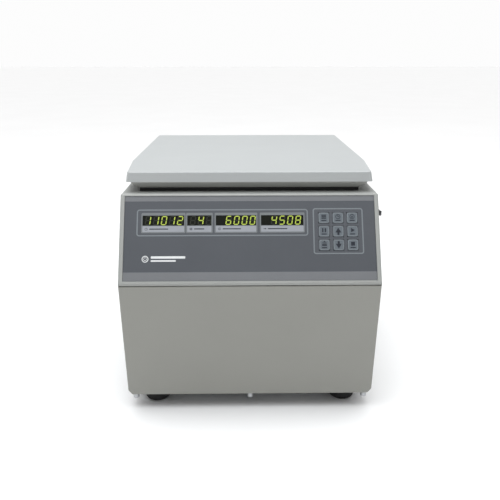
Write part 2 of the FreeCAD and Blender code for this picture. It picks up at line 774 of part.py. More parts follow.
def control_board():
    """The circuit board behind the panel, its standoffs and the nine key switches."""
    board = new_body("control_board")
    add(board, "card", "XY", "-board_depth-board_sheet", "-board_depth",
        rectangle("-board_half_width", "board_low", "board_half_width", "board_high"))
    chips = [rectangle("-150", "56", "-110", "66"), rectangle("-60", "52", "-34", "78"),
             rectangle("30", "54", "70", "64")]
    add(board, "chips", "XY", "-board_depth-board_sheet-3", "-board_depth-board_sheet", *chips)
    node(on_panel(board), "control_board")
    spacers = new_body("board_standoffs")
    spacers.AllowCompound = True
    places = [(x, y) for x in ("-board_half_width+6", "96", "board_half_width-2.5")
              for y in ("board_low+6", "board_high-4")]
    add(spacers, "spacer_posts", "XY", "-board_depth", "-plate_back",
        *[circle(x, y, "3") for x, y in places])
    node(on_panel(spacers), "board_standoffs")
    switches = new_body("key_switches")
    switches.AllowCompound = True
    half = "key_switch/2"
    add(switches, "switch_blocks", "XY", "-board_depth", "-board_depth+3",
        *[rectangle("%s-%s" % (x, half), "%s-%s" % (y, half), "%s+%s" % (x, half), "%s+%s" % (y, half))
          for x, y in key_centres()])
    node(on_panel(switches), "key_switches")


KEY_NAMES = ("key_program", "key_timer", "key_speed",
             "key_brake", "key_up", "key_start",
             "key_lid", "key_down", "key_stop")


def keys():
    """Nine keys, each a cap that stands proud of the overlay, a lip behind the plate and a stem."""
    for name, (x, y) in zip(KEY_NAMES, key_centres()):
        body = new_body(name)
        lip_front = "-plate_back-key_gap"
        add(body, name + "_cap", "XY", lip_front, "-overlay_depth+key_proud", key_outline(x, y, "0"))
        add(body, name + "_lip", "XY", lip_front + "-1", lip_front, key_outline(x, y, "key_lip"))
        add(body, name + "_stem", "XY", "-board_depth+3.8", lip_front + "-1", circle(x, y, "key_stem"))
        node(on_panel(body), name)


# ---- Chamber, motor and rotor ----

def chamber():
    """The steel bowl, the thick guard ring around it and the rubber boot over the motor."""
    bowl = new_body("chamber_bowl")
    outer = "bowl_radius+bowl_sheet"
    floor_top = "bowl_floor+bowl_sheet"
    turn(bowl, "bowl_shell", "Revolution",
         [("boot_radius", "bowl_floor"), (outer, "bowl_floor"), (outer, DECK_UNDER + "-bowl_sheet"),
          (outer + "+bowl_flange", DECK_UNDER + "-bowl_sheet"), (outer + "+bowl_flange", DECK_UNDER),
          ("bowl_radius", DECK_UNDER), ("bowl_radius", floor_top), ("boot_radius", floor_top)])
    node(place(bowl, "0", "bowl_across"), "chamber_bowl")
    node(tube("guard", ("0", "bowl_across", "bowl_floor+5"), DECK_UNDER + "-bowl_sheet-1-bowl_floor-5",
              "guard_radius+guard_sheet", "guard_radius"), "guard_ring")
    boot = new_body("bowl_boot")
    turn(boot, "bellows", "Revolution",
         [("20", "motor_top+0.2"), ("boot_radius+8", "motor_top+0.2"), ("boot_radius+8", "bowl_floor"),
          ("boot_radius+2", "bowl_floor"), ("boot_radius+2", "motor_top+4"), ("20", "motor_top+4")])
    node(place(boot, "0", "bowl_across"), "motor_boot")


def motor():
    """The motor's case, winding and bearings, on a plate that stands on rubber dampers."""
    case = new_body("motor_housing")
    foot = "motor_plate_up+motor_plate_sheet"
    seat = "bearing_radius"
    low_seat = foot + "+4"
    turn(case, "motor_case", "Revolution",
         [("0", foot), ("motor_radius+16", foot), ("motor_radius+16", foot + "+6"),
          ("motor_radius", foot + "+6"),
          ("motor_radius", "motor_top"), ("shaft_radius+1.5", "motor_top"),
          ("shaft_radius+1.5", "motor_top-4"),
          (seat, "motor_top-4"), (seat, "motor_top-4-bearing_height"),
          ("motor_cavity", "motor_top-4-bearing_height"),
          ("motor_cavity", low_seat + "+bearing_height"), (seat, low_seat + "+bearing_height"),
          (seat, low_seat),
          ("0", low_seat)])
    node(place(case, "0", "bowl_across"), "motor_housing")
    winding_low = low_seat + "+bearing_height+6"
    winding_high = "motor_top-4-bearing_height-6"
    node(tube("winding", ("0", "bowl_across", winding_low), "%s-(%s)" % (winding_high, winding_low),
              "motor_cavity", "armature_radius+stator_gap"), "motor_stator")
    bearing_bore = "shaft_radius+running_gap"
    bearings = [tube("bearing_%d" % number, ("0", "bowl_across", low), "bearing_height", seat, bearing_bore)
                for number, low in enumerate((low_seat, "motor_top-4-bearing_height"))]
    node(group("bearing_pair", *bearings), "motor_bearings")
    plate = new_body("motor_plate")
    reach = "motor_plate_half"
    add(plate, "square", "XY", "motor_plate_up", foot, rectangle("-" + reach, "-" + reach, reach, reach))
    corners = [(x, y) for x in ("-damper_spread", "damper_spread")
               for y in ("-damper_spread", "damper_spread")]
    remove(plate, "stud_holes", "XY", "motor_plate_up-1", foot + "+1",
           *[circle(x, y, "4.2") for x, y in corners])
    node(place(plate, "0", "bowl_across"), "motor_plate")
    dampers = []
    for number, (x, y) in enumerate(corners):
        start = "bowl_across+(%s)" % y
        pad = rod("damper_pad_%d" % number, (x, start, "body_base+wall"), "motor_plate_up-body_base-wall",
                  "damper_radius")
        stud = rod("damper_stud_%d" % number, (x, start, "motor_plate_up"), "motor_plate_sheet+8", "4")
        dampers.append(fuse("damper_%d" % number, pad, stud))
    node(group("damper_set", *dampers), "motor_dampers")


def drive_shaft():
    """The motor's shaft, with the rotor's cone and a stud for its nut, and the armature on it."""
    shaft = new_body("drive_shaft")
    foot = "motor_plate_up+motor_plate_sheet+4.5"
    turn(shaft, "spindle", "Revolution",
         [("0", foot), ("shaft_radius", foot), ("shaft_radius", "cone_low-6"),
          ("cone_low_radius+4", "cone_low-6"),
          ("cone_low_radius+4", "cone_low-1"), ("cone_low_radius", "cone_low-1"),
          ("cone_low_radius", "cone_low"),
          ("cone_high_radius", "cone_high"), ("stud_radius", "cone_high"), ("stud_radius", "nut_top-4"),
          ("0", "nut_top-4")])
    node(place(shaft, "0", "bowl_across"), "drive_shaft")
    low = "motor_plate_up+motor_plate_sheet+4+bearing_height+8"
    high = "motor_top-4-bearing_height-8"
    node(tube("iron_core", ("0", "bowl_across", low), "%s-(%s)" % (high, low), "armature_radius",
              "shaft_radius"),
         "motor_armature")


def tilt_sketch(feature, rise):
    """Aim a level feature's sketch down a tube pocket, starting a distance above the pocket's mouth."""
    sketch = feature.Profile[0]
    sketch.AttachmentOffset = FreeCAD.Placement(
        FreeCAD.Vector(), FreeCAD.Rotation(FreeCAD.Vector(0, 1, 0), -value("tube_tilt")))
    bind(sketch, AttachmentOffset__Base__x="tube_mouth-(%s)*sin(tube_tilt)" % rise,
         AttachmentOffset__Base__z="rotor_top+(%s)*cos(tube_tilt)" % rise,
         AttachmentOffset__Rotation__Angle="-tube_tilt")


def on_spindle(body):
    """Stand a body on the drive shaft's axis, turned to where the rotor has stopped."""
    place(body, "0", "bowl_across", "0", FreeCAD.Rotation(FreeCAD.Vector(0, 0, 1), value("rotor_turn")))
    bind(body, Placement__Rotation__Angle="rotor_turn*1deg")
    return body


def around_axis(body, name, *features):
    """Repeat features six times about the body's vertical axis."""
    doc.recompute()
    pattern = body.newObject("PartDesign::PolarPattern", name)
    pattern.Originals = list(features)
    axis = [found for found in body.Origin.OriginFeatures if found.Role == "Z_Axis"][0]
    pattern.Axis = (axis, [""])
    pattern.Angle = 360
    pattern.Occurrences = 6
    body.Tip = pattern
    return pattern


def rotor():
    """A fixed-angle rotor with six pockets, their sleeves and the nut that holds it down."""
    body = new_body("rotor_body")
    gap = "0.15"
    turn(body, "rotor_blank", "Revolution",
         [("cone_low_radius+" + gap, "rotor_low"), ("28", "rotor_low"), ("28", "rotor_low+34"),
          ("50", "rotor_low+34"), ("66", "rotor_low+3"), ("74", "rotor_low"),
          ("rotor_radius-4", "rotor_low+22"),
          ("rotor_radius", "rotor_low+26"), ("rotor_radius", "rotor_low+38"),
          ("rotor_top_radius", "rotor_top"),
          ("stud_radius+" + gap, "rotor_top"), ("stud_radius+" + gap, "cone_high+" + gap),
          ("cone_high_radius+" + gap, "cone_high+" + gap)])
    pocket = remove(body, "tube_pocket", "XY", "-tube_depth", "20", circle("0", "0", "tube_bore"))
    tilt_sketch(pocket, "20")
    around_axis(body, "tube_pockets", pocket)
    node(on_spindle(body), "rotor_body")
    sleeves = new_body("tube_sleeves")
    sleeves.AllowCompound = True
    cup = add(sleeves, "cup", "XY", "0", "tube_depth+3.8", circle("0", "0", "sleeve_radius"))
    cup.Reversed = True
    tilt_sketch(cup, "4")
    well = remove(sleeves, "tube_well", "XY", "0", "tube_depth+1.5", circle("0", "0", "sleeve_bore"))
    tilt_sketch(well, "4")
    around_axis(sleeves, "sleeve_ring", cup, well)
    node(on_spindle(sleeves), "tube_sleeves")
    nut = new_body("rotor_nut")
    turn(nut, "knob", "Revolution",
         [("stud_radius+" + gap, "rotor_top+0.1"), ("nut_radius-3", "rotor_top+0.1"),
          ("nut_radius", "rotor_top+4"),
          ("nut_radius", "nut_top-3"), ("nut_radius-3", "nut_top"), ("0", "nut_top"), ("0", "nut_top-3.5"),
          ("stud_radius+" + gap, "nut_top-3.5")])
    node(place(nut, "0", "bowl_across"), "rotor_nut")


# ---- Lid ----

def lid_plan(across="0", front="0", rear="lid_rear"):
    """The lid's outline seen from above, pulled in from the sides and the front."""
    return mirrored([("lid_front_half-(%s)" % across, "lid_front+(%s)" % front),
                     ("lid_shoulder_half-(%s)" % across, "lid_shoulder"),
                     ("lid_rear_half-(%s)" % across, rear)])


def lid_shell():
    """The flat lid with a skirt that flares a little towards its lower edge."""
    body = new_body("lid_shell")
    skirt_foot = "lid_top-lid_skirt"
    draft = "atan(lid_draft/lid_skirt)"
    block_pad = add(body, "lid_block", "XY", skirt_foot, "lid_top",
                    polygon(lid_plan("-lid_draft", "-lid_draft", "lid_rear+lid_draft")))
    bind(block_pad, TaperAngle="-" + draft)
    top = value("lid_top")
    shoulder = abs(value("lid_shoulder")) + 20

    def upright_corner(edge):
        return edge.BoundBox.ZLength > 10 and abs(edge.BoundBox.Center.y) > shoulder

    rounded(body, "corners", "7", upright_corner)
    rounded(body, "top_edge", "2.2", lambda edge: edge.BoundBox.ZMin > top - 0.1)
    inset = "lid_sheet*1.1"
    hollow = remove(body, "lid_hollow", "XY", skirt_foot, "lid_top-lid_sheet",
                    polygon(lid_plan(inset, inset, "lid_rear-" + inset)))
    bind(hollow, TaperAngle=draft)
    node(body, "lid_shell")


def lid_liner():
    """The inner tray under the lid, with bevelled sides."""
    body = new_body("lid_liner")
    rim_top = "lid_top-lid_sheet-0.2"
    thick = "liner_sheet"
    add(body, "flange_block", "XY", "liner_bevel_top", rim_top,
        polygon(lid_plan(*LINER_SIDES, "liner_rear")))
    loft(body, "bevel_block", "AdditiveLoft",
         "liner_bottom", lid_plan(*LINER_FOOT, "liner_rear-liner_bevel_front"),
         "liner_bevel_top", lid_plan(*LINER_SIDES, "liner_rear"))
    inner_sides = [side + "+" + thick for side in LINER_SIDES]
    inner_foot = [side + "+" + thick for side in LINER_FOOT]
    remove(body, "upper_hollow", "XY", "liner_bevel_top", rim_top + "+1",
           polygon(lid_plan(*inner_sides, "liner_rear-" + thick)))
    loft(body, "lower_hollow", "SubtractiveLoft", "liner_bottom+" + thick,
         lid_plan(*inner_foot, "liner_rear-liner_bevel_front-" + thick), "liner_bevel_top+0.01",
         lid_plan(*inner_sides, "liner_rear-" + thick))
    node(body, "lid_liner")


def lid_seal():
    """A rubber frame under the liner that closes the gap to the deck."""
    body = new_body("lid_seal")
    rear = "liner_rear-liner_bevel_front"
    low = "deck_height+seal_gap"
    inner = [side + "+seal_width" for side in LINER_FOOT]
    add(body, "frame_block", "XY", low, "liner_bottom", polygon(lid_plan(*LINER_FOOT, rear)))
    remove(body, "frame_middle", "XY", low + "-1", "liner_bottom+1",
           polygon(lid_plan(*inner, rear + "-seal_width")))
    node(body, "lid_seal")


def lid_hinge():
    """Two arms under the lid on one long rod, two brackets on the deck and two torsion springs."""
    arms, brackets, springs = [], [], []
    eye = ("hinge_back", "hinge_up")
    for side in ("-", ""):
        mark = "left" if side else "right"
        middle = side + "arm_across"
        arm = new_body("hinge_arm_" + mark)
        lid_under = "lid_top-lid_sheet-0.1"
        low, high = middle + "-arm_half", middle + "+arm_half"
        add(arm, "web_" + mark, "YZ", low, high,
            rectangle("hinge_back-12", "hinge_up", "hinge_back", lid_under))
        add(arm, "foot_" + mark, "YZ", middle + "-2.2*arm_half", middle + "+2.2*arm_half",
            rectangle("hinge_back-14", lid_under + "-3", "hinge_back-1", lid_under))
        add(arm, "knuckle_" + mark, "YZ", low, high, circle(*eye, "knuckle_radius"))
        screw_places = [(middle + step, "hinge_back-8.5") for step in ("-12.5", "+12.5")]
        remove(arm, "screw_holes_" + mark, "XY", lid_under + "-4", lid_under + "+1",
               *[circle(x, y, "1.6") for x, y in screw_places])
        remove(arm, "bore_" + mark, "YZ", low + "-1", high + "+1", circle(*eye, "rod_radius+hinge_gap"))
        arms.append(arm)
        bracket = new_body("hinge_bracket_" + mark)
        outer = "arm_half+ear_gap+ear_sheet"
        add(bracket, "base_" + mark, "XY", "deck_height", "deck_height+2.5",
            rectangle("%s-(%s)-6" % (middle, outer), "hinge_back-12", "%s+(%s)+6" % (middle, outer),
                      "hinge_back+12"))
        inner = "(arm_half+ear_gap)"
        ears = (("a", "%s-(%s)" % (middle, outer), "%s-%s" % (middle, inner)),
                ("b", "%s+%s" % (middle, inner), "%s+(%s)" % (middle, outer)))
        for ear, ear_low, ear_high in ears:
            add(bracket, "ear_%s_%s" % (ear, mark), "YZ", ear_low, ear_high,
                rectangle("hinge_back-5.5", "deck_height+1", "hinge_back+5.5", "hinge_up"))
            add(bracket, "ear_top_%s_%s" % (ear, mark), "YZ", ear_low, ear_high, circle(*eye, "5.5"))
        remove(bracket, "rod_hole_" + mark, "YZ", middle + "-arm_half-10", middle + "+arm_half+10",
               circle(*eye, "rod_radius"))
        brackets.append(bracket)
        start = side + "(arm_across-arm_half-ear_gap-ear_sheet-2" + ("" if side else "-spring_length") + ")"
        springs.append(tube("spring_" + mark, (start, *eye), "spring_length", "spring_outer",
                            "spring_inner", ALONG_X))
    node(group("arm_pair", *arms), "hinge_arms")
    node(group("bracket_pair", *brackets), "hinge_brackets")
    node(group("spring_pair", *springs), "torsion_springs")
    node(rod("hinge_bar", ("-rod_half", *eye), "2*rod_half", "rod_radius", ALONG_X), "hinge_rod")
    heads = [(side + "arm_across" + step, "hinge_back-8.5", "lid_top-lid_sheet-0.1-3-2")
             for side in ("-", "") for step in ("-12.5", "+12.5")]
    screws_group("lid_screws", heads, "3", "2", "3", shank="1.5")


# ---- Lid lock ----

def lid_striker():
    """A steel loop under the lid's front, with a window for the hook."""
    body = new_body("lid_striker")
    front, rear = "latch_back-striker_sheet/2", "latch_back+striker_sheet/2"
    add(body, "blade", "XZ", front, rear,
        rectangle("-striker_half", "striker_low", "striker_half", "liner_bottom"))
    add(body, "foot", "XY", "liner_bottom-2.5", "liner_bottom",
        rectangle("-striker_half-6", "latch_back-4", "striker_half+6", "latch_back+12"))
    remove(body, "window", "XZ", front + "-1", rear + "+1",
           rectangle("-striker_window_half", "striker_window_low", "striker_window_half",
                     "striker_window_high"))
    node(body, "lid_striker")


def latch():
    """A bracket under the deck with a hook on a pin, and the solenoid whose plunger turns it."""
    body = new_body("latch_bracket")
    outer = "bracket_inner+bracket_sheet"
    for mark, low, high in (("left", "-(%s)" % outer, "-bracket_inner"), ("right", "bracket_inner", outer)):
        add(body, "cheek_" + mark, "YZ", low, high,
            rectangle("bracket_front", "bracket_low", "bracket_rear", DECK_UNDER))
        if mark == "left":
            add(body, "bracket_floor", "XY", "bracket_low", "bracket_low+bracket_sheet",
                rectangle("-(%s)" % outer, "bracket_front", outer, "bracket_rear"))
    remove(body, "pin_hole", "YZ", "-(%s)-1" % outer, outer + "+1",
           circle("latch_back", "hook_pivot_up", "hook_pin"))
    remove(body, "slot_relief", "XY", DECK_UNDER + "-34", DECK_UNDER + "+1",
           rectangle("-striker_half-3", "latch_back-7", "striker_half+3", "latch_back+7"))
    node(body, "latch_bracket")
    node(rod("hook_pin_bar", ("-(%s)-1" % outer, "latch_back", "hook_pivot_up"), "2*(%s)+2" % outer,
             "hook_pin", ALONG_X),
         "latch_pin")
    hook = new_body("latch_hook")
    half = "hook_half"
    side = [("-4", "-20"), ("4", "-20"), ("4", "-2"), ("18", "8"), ("18", "38.5"), ("3.5", "38.5"),
            ("3.5", "34"),
            ("12", "34"), ("12", "10"), ("2", "4"), ("-4", "2")]
    add(hook, "hook_plate", "YZ", "-" + half, half,
        polygon([("latch_back+(%s)" % y, "hook_pivot_up+(%s)" % z) for y, z in side]))
    add(hook, "hub", "YZ", "-bracket_inner+0.5", "bracket_inner-0.5",
        circle("latch_back", "hook_pivot_up", "6.5"))
    add(hook, "tail_pin_bar", "YZ", "-bracket_inner+0.8", "bracket_inner-0.8",
        circle("latch_back", "plunger_up", "tail_pin"))
    remove(hook, "pivot_bore", "YZ", "-bracket_inner", "bracket_inner",
           circle("latch_back", "hook_pivot_up", "hook_pin+hinge_gap"))
    node(hook, "latch_hook")
    coil = new_body("latch_solenoid")
    add(coil, "coil_frame", "YZ", "-bracket_inner+0.2", "bracket_inner-0.2",
        rectangle("bracket_front", "bracket_low+bracket_sheet", "bracket_front+17", "plunger_up+12"))
    remove(coil, "coil_bore", "XZ", "bracket_front+2", "bracket_front+18",
           circle("0", "plunger_up", "plunger_radius+0.3"))
    node(coil, "latch_solenoid")
    plunger = new_body("solenoid_plunger")
    add(plunger, "plunger_bar", "XZ", "bracket_front+3", "latch_back-7.5",
        circle("0", "plunger_up", "plunger_radius"))
    add(plunger, "yoke", "YZ", "-9", "9",
        rectangle("latch_back-11", "plunger_up-5.5", "latch_back-7.5", "plunger_up+5.5"))
    add(plunger, "fork", "YZ", "-9", "9",
        rectangle("latch_back-8", "plunger_up-5.5", "latch_back+7", "plunger_up+5.5"))
    remove(plunger, "fork_gap", "YZ", "-hook_half-0.6", "hook_half+0.6",
           rectangle("latch_back-7.5", "plunger_up-6", "latch_back+8", "plunger_up+6"))
    slot_half, slot_tall = "tail_pin+0.3", "tail_pin+1.6"
    remove(plunger, "pin_slot", "YZ", "-10", "10",
           rectangle("latch_back-(%s)" % slot_half, "plunger_up-(%s)" % slot_tall,
                     "latch_back+(%s)" % slot_half, "plunger_up+(%s)" % slot_tall))
    node(plunger, "solenoid_plunger")


# ---- Drive electronics ----

def drive_board():
    """The motor drive's circuit board on four posts, with its heat sink."""
    board = new_body("drive_board")
    left, right, front, rear = "-195", "-118", "-110", "60"
    up = "body_base+wall+12"
    add(board, "drive_card", "XY", up, up + "+board_sheet", rectangle(left, front, right, rear))
    add(board, "card_posts", "XY", "body_base+wall", up,
        *[circle(x, y, "3.5") for x in (left + "+8", right + "-8") for y in (front + "+8", rear + "-8")])
    node(board, "drive_board")
    sink = new_body("drive_heat_sink")
    base = up + "+board_sheet"
    sink_left, sink_front, sink_rear = "(-192)", "-100", "0"
    add(sink, "sink_base", "XY", base, base + "+5",
        rectangle(sink_left, sink_front, sink_left + "+42", sink_rear))
    fin_starts = [sink_left + "+%d" % across for across in range(0, 42, 6)]
    fins = [rectangle(start, sink_front, start + "+2", sink_rear) for start in fin_starts]
    add(sink, "fins", "XY", base + "+5", base + "+35", *fins)
    node(sink, "drive_heat_sink")


def build():
    """Make every sub-part."""
    outer_housing()
    front_cover()
    base_pan()
    rubber_feet()
    cabinet_screws()
    rear_panel()
    fan()
    power_inlet()
    power_switch()
    control_panel()
    control_board()
    keys()
    chamber()
    motor()
    drive_shaft()
    rotor()
    lid_shell()
    lid_liner()
    lid_seal()
    lid_hinge()
    lid_striker()
    latch()
    drive_board()


def faults():
    """Everything that failed to build, or that changed no volume where it should have."""
    found = []
    for thing in doc.Objects:
        if {"Invalid", "Error"} & set(thing.State):
            found.append("%s is %s" % (thing.Name, thing.State))
            continue
        base = getattr(thing, "BaseFeature", None)
        if thing.isDerivedFrom("PartDesign::Feature") and base is not None:
            if thing.Shape.isNull() or base.Shape.isNull():
                found.append(thing.Name + " has no shape")
                continue
            change = thing.Shape.Volume - base.Shape.Volume
            if abs(change) < 0.01:
                found.append(thing.Name + " changes nothing")
            if thing.TypeId in ("PartDesign::Pocket", "PartDesign::Groove") and change > 0:
                found.append(thing.Name + " adds material")
    for thing in nodes:
        if thing.Shape.isNull() or not thing.Shape.isValid() or not thing.Shape.Solids:
            found.append(thing.Label + " has no valid shape")
    return found


def write():
    """Write each sub-part to its own file."""
    os.makedirs("parts", exist_ok=True)
    for thing in nodes:
        thing.Shape.exportStep(os.path.join("parts", thing.Label + ".step"))
        box = thing.Shape.BoundBox
        print("%-22s %2d solids  %9.0f mm3  X %7.1f %7.1f  Y %7.1f %7.1f  Z %6.1f %6.1f" % (
            thing.Label, len(thing.Shape.Solids), thing.Shape.Volume, box.XMin, box.XMax, box.YMin, box.YMax,
            box.ZMin, box.ZMax))
    print(len(nodes), "nodes")


build()
doc.recompute()
problems = faults()
if problems:
    raise SystemExit("\n".join(problems))
write()
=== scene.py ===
"""Looks of the bench-top laboratory centrifuge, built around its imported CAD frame, in metres."""
import json
import math

import bmesh
import bpy
from mathutils import Matrix, Vector

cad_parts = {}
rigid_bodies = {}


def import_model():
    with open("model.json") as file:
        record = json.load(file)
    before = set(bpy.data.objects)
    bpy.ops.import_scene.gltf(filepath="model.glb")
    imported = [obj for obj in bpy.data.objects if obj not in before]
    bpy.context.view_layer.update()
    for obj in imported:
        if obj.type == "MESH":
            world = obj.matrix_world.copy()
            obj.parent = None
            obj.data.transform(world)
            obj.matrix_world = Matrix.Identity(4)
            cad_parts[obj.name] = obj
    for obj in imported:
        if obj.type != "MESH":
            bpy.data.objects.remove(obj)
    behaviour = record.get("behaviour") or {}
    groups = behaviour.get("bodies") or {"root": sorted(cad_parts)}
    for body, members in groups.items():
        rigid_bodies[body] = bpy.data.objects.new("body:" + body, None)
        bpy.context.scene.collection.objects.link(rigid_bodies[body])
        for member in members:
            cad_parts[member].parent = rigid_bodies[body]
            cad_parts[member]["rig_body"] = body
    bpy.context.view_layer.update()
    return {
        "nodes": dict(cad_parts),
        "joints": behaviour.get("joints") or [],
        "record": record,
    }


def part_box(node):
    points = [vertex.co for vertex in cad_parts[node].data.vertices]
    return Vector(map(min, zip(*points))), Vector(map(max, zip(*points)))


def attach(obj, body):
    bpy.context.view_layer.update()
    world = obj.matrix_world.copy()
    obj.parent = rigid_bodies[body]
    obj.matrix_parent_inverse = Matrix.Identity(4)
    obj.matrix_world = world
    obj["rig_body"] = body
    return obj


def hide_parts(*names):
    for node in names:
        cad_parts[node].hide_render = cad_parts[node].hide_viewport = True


MM = 0.001
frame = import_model()
NODES = frame["nodes"]
BODY_OF = {name: node["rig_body"] for name, node in NODES.items()}
SLOT_OF = {entry["node"]: entry["material_slot"] for entry in frame["record"]["subparts"]}
JOINT_OF = {joint["name"]: joint for joint in frame["joints"]}
scene = bpy.context.scene


# ---- Materials ----

def new_tree(name):
    """A material with its shader, and a function that adds a node to it."""
    made = bpy.data.materials.new(name)
    made.use_nodes = True
    tree = made.node_tree
    shader = tree.nodes["Principled BSDF"]

    def add(kind):
        return tree.nodes.new("ShaderNode" + kind)

    return made, tree, shader, add


def linear(colour):
    """A screen colour from 0 to 255 as linear light, with alpha."""
    levels = [((c / 255 + 0.055) / 1.055) ** 2.4 if c > 10 else c / 255 / 12.92 for c in colour]
    return tuple(levels) + (1.0,)


def finish_material(name, colour, roughness, metallic=0.0, mottle=0.05, patch=14.0, grain=1400.0,
                    bump=0.15, depth=0.02, stretch=(1, 1, 1), spread=0.12, specular=0.5):
    """A moulded, painted or machined finish.

    Mottle is how far its colour varies, over noise of scale patch. Grain is the scale of the fine
    noise behind its gloss, which varies by spread, and its relief, which is depth millimetres deep.
    """
    made, tree, shader, add = new_tree(name)
    link = tree.links.new
    place = add("TexCoord")
    stretched = add("Mapping")
    stretched.inputs["Scale"].default_value = stretch
    link(place.outputs["Object"], stretched.inputs["Vector"])
    broad = add("TexNoise")
    broad.inputs["Scale"].default_value = patch
    broad.inputs["Detail"].default_value = 4.0
    link(stretched.outputs["Vector"], broad.inputs["Vector"])
    ramp = add("ValToRGB")
    base = linear(colour)
    for element, place_on, factor in zip(ramp.color_ramp.elements, (0.3, 0.7), (1 - mottle, 1 + mottle)):
        element.position = place_on
        element.color = tuple(min(1.0, c * factor) for c in base[:3]) + (1.0,)
    link(broad.outputs["Fac"], ramp.inputs["Fac"])
    link(ramp.outputs["Color"], shader.inputs["Base Color"])
    fine = add("TexNoise")
    fine.inputs["Scale"].default_value = grain
    fine.inputs["Detail"].default_value = 2.0
    link(stretched.outputs["Vector"], fine.inputs["Vector"])
    gloss = add("MapRange")
    gloss.inputs["To Min"].default_value = max(0.02, roughness * (1 - spread))
    gloss.inputs["To Max"].default_value = min(1.0, roughness * (1 + spread))
    link(fine.outputs["Fac"], gloss.inputs["Value"])
    link(gloss.outputs["Result"], shader.inputs["Roughness"])
    relief = add("Bump")
    relief.inputs["Strength"].default_value = bump
    relief.inputs["Distance"].default_value = depth * MM
    link(fine.outputs["Fac"], relief.inputs["Height"])
    link(relief.outputs["Normal"], shader.inputs["Normal"])
    shader.inputs["Metallic"].default_value = metallic
    shader.inputs["Specular IOR Level"].default_value = specular
    return made


def glowing_material(name, colour, strength):
    """A lit display segment, a little brighter in places."""
    made, tree, shader, add = new_tree(name)
    place = add("TexCoord")
    noise = add("TexNoise")
    noise.inputs["Scale"].default_value = 600.0
    tree.links.new(place.outputs["Object"], noise.inputs["Vector"])
    ramp = add("ValToRGB")
    base = linear(colour)
    ramp.color_ramp.elements[0].color = tuple(c * 0.8 for c in base[:3]) + (1.0,)
    ramp.color_ramp.elements[1].color = base
    tree.links.new(noise.outputs["Fac"], ramp.inputs["Fac"])
    tree.links.new(ramp.outputs["Color"], shader.inputs["Base Color"])
    tree.links.new(ramp.outputs["Color"], shader.inputs["Emission Color"])
    shader.inputs["Emission Strength"].default_value = strength
    shader.inputs["Roughness"].default_value = 0.5
    return made


PAINT = dict(grain=1100.0, bump=0.25, depth=0.03, spread=0.1, mottle=0.015)
METAL = dict(metallic=1.0, mottle=0.06, grain=900.0)
FILM = dict(roughness=0.5, mottle=0.03, grain=2200.0, bump=0.2, specular=0.3)
FINISHES = {
    # The front cover and the lid wear the cabinet's light grey paint. The cover's darker copy is painted
    # shade, for its face turned forward and down; the lid's lighter copy is painted light, for its top facing
    # up.
    "cabinet_paint": finish_material("cabinet_paint", (152, 154, 151), 0.42, **PAINT),
    "cover_paint": finish_material("cover_paint", (143, 143, 137), 0.45, **PAINT),
    "lid_paint": finish_material("lid_paint", (168, 171, 171), 0.4, **PAINT),
    "zinc_steel": finish_material("zinc_steel", (176, 178, 180), 0.38, **METAL),
    "bowl_steel": finish_material("bowl_steel", (196, 198, 200), 0.3, metallic=1.0, mottle=0.06,
                                  stretch=(1, 1, 30), patch=40.0),
    "rotor_alloy": finish_material("rotor_alloy", (120, 124, 132), 0.36, metallic=1.0,
                                   stretch=(1, 1, 12)),
    "motor_alloy": finish_material("motor_alloy", (150, 152, 154), 0.5, metallic=1.0, mottle=0.1,
                                   bump=0.4),
    "panel_alloy": finish_material("panel_alloy", (170, 172, 174), 0.4, metallic=1.0,
                                   stretch=(1, 20, 20)),
    "overlay_film": finish_material("overlay_film", (79, 82, 87), **FILM),
    "key_film": finish_material("key_film", (97, 104, 110), **FILM),
    "smoked_lens": finish_material("smoked_lens", (20, 22, 17), 0.3, mottle=0.2, bump=0.02,
                                   specular=0.12),
    "black_plastic": finish_material("black_plastic", (36, 36, 38), 0.42, mottle=0.12, bump=0.3),
    "switch_plastic": finish_material("switch_plastic", (70, 71, 73), 0.42, mottle=0.1, bump=0.3),
    "black_rubber": finish_material("black_rubber", (24, 24, 24), 0.72, mottle=0.2, patch=60.0,
                                    bump=0.5),
    "liner_plastic": finish_material("liner_plastic", (150, 151, 147), 0.55, bump=0.4, depth=0.05,
                                     grain=700.0),
    "sleeve_plastic": finish_material("sleeve_plastic", (70, 92, 132), 0.35, mottle=0.06),
    "circuit_board": finish_material("circuit_board", (28, 78, 46), 0.45, mottle=0.15, patch=60.0),
    "copper_winding": finish_material("copper_winding", (168, 96, 58), 0.4, metallic=1.0,
                                      stretch=(1, 1, 40)),
    "iron_core": finish_material("iron_core", (88, 86, 84), 0.6, metallic=1.0, stretch=(1, 1, 60)),
}
PRINT_COLOURS = {
    "print_strip": (112, 114, 117),
    "print_line": (117, 123, 127),
    "print_frame": (113, 117, 119),
    "print_label": (146, 149, 155),
    "print_dark": (36, 40, 48),
    "print_white": (216, 218, 218),
    "segment_off": (34, 37, 27),
}
PRINTS = {name: finish_material(name, colour, **FILM) for name, colour in PRINT_COLOURS.items()}
PRINTS["segment_lit"] = glowing_material("segment_lit", (156, 172, 62), 0.45)


def dress(thing, finish):
    """Give an object one material."""
    thing.data.materials.clear()
    thing.data.materials.append(finish)


for node_name, node in NODES.items():
    dress(node, FINISHES[SLOT_OF[node_name]])
for node_name in ("power_switch_frame", "power_switch_rocker"):
    dress(NODES[node_name], FINISHES["switch_plastic"])


# ---- Mesh helpers ----

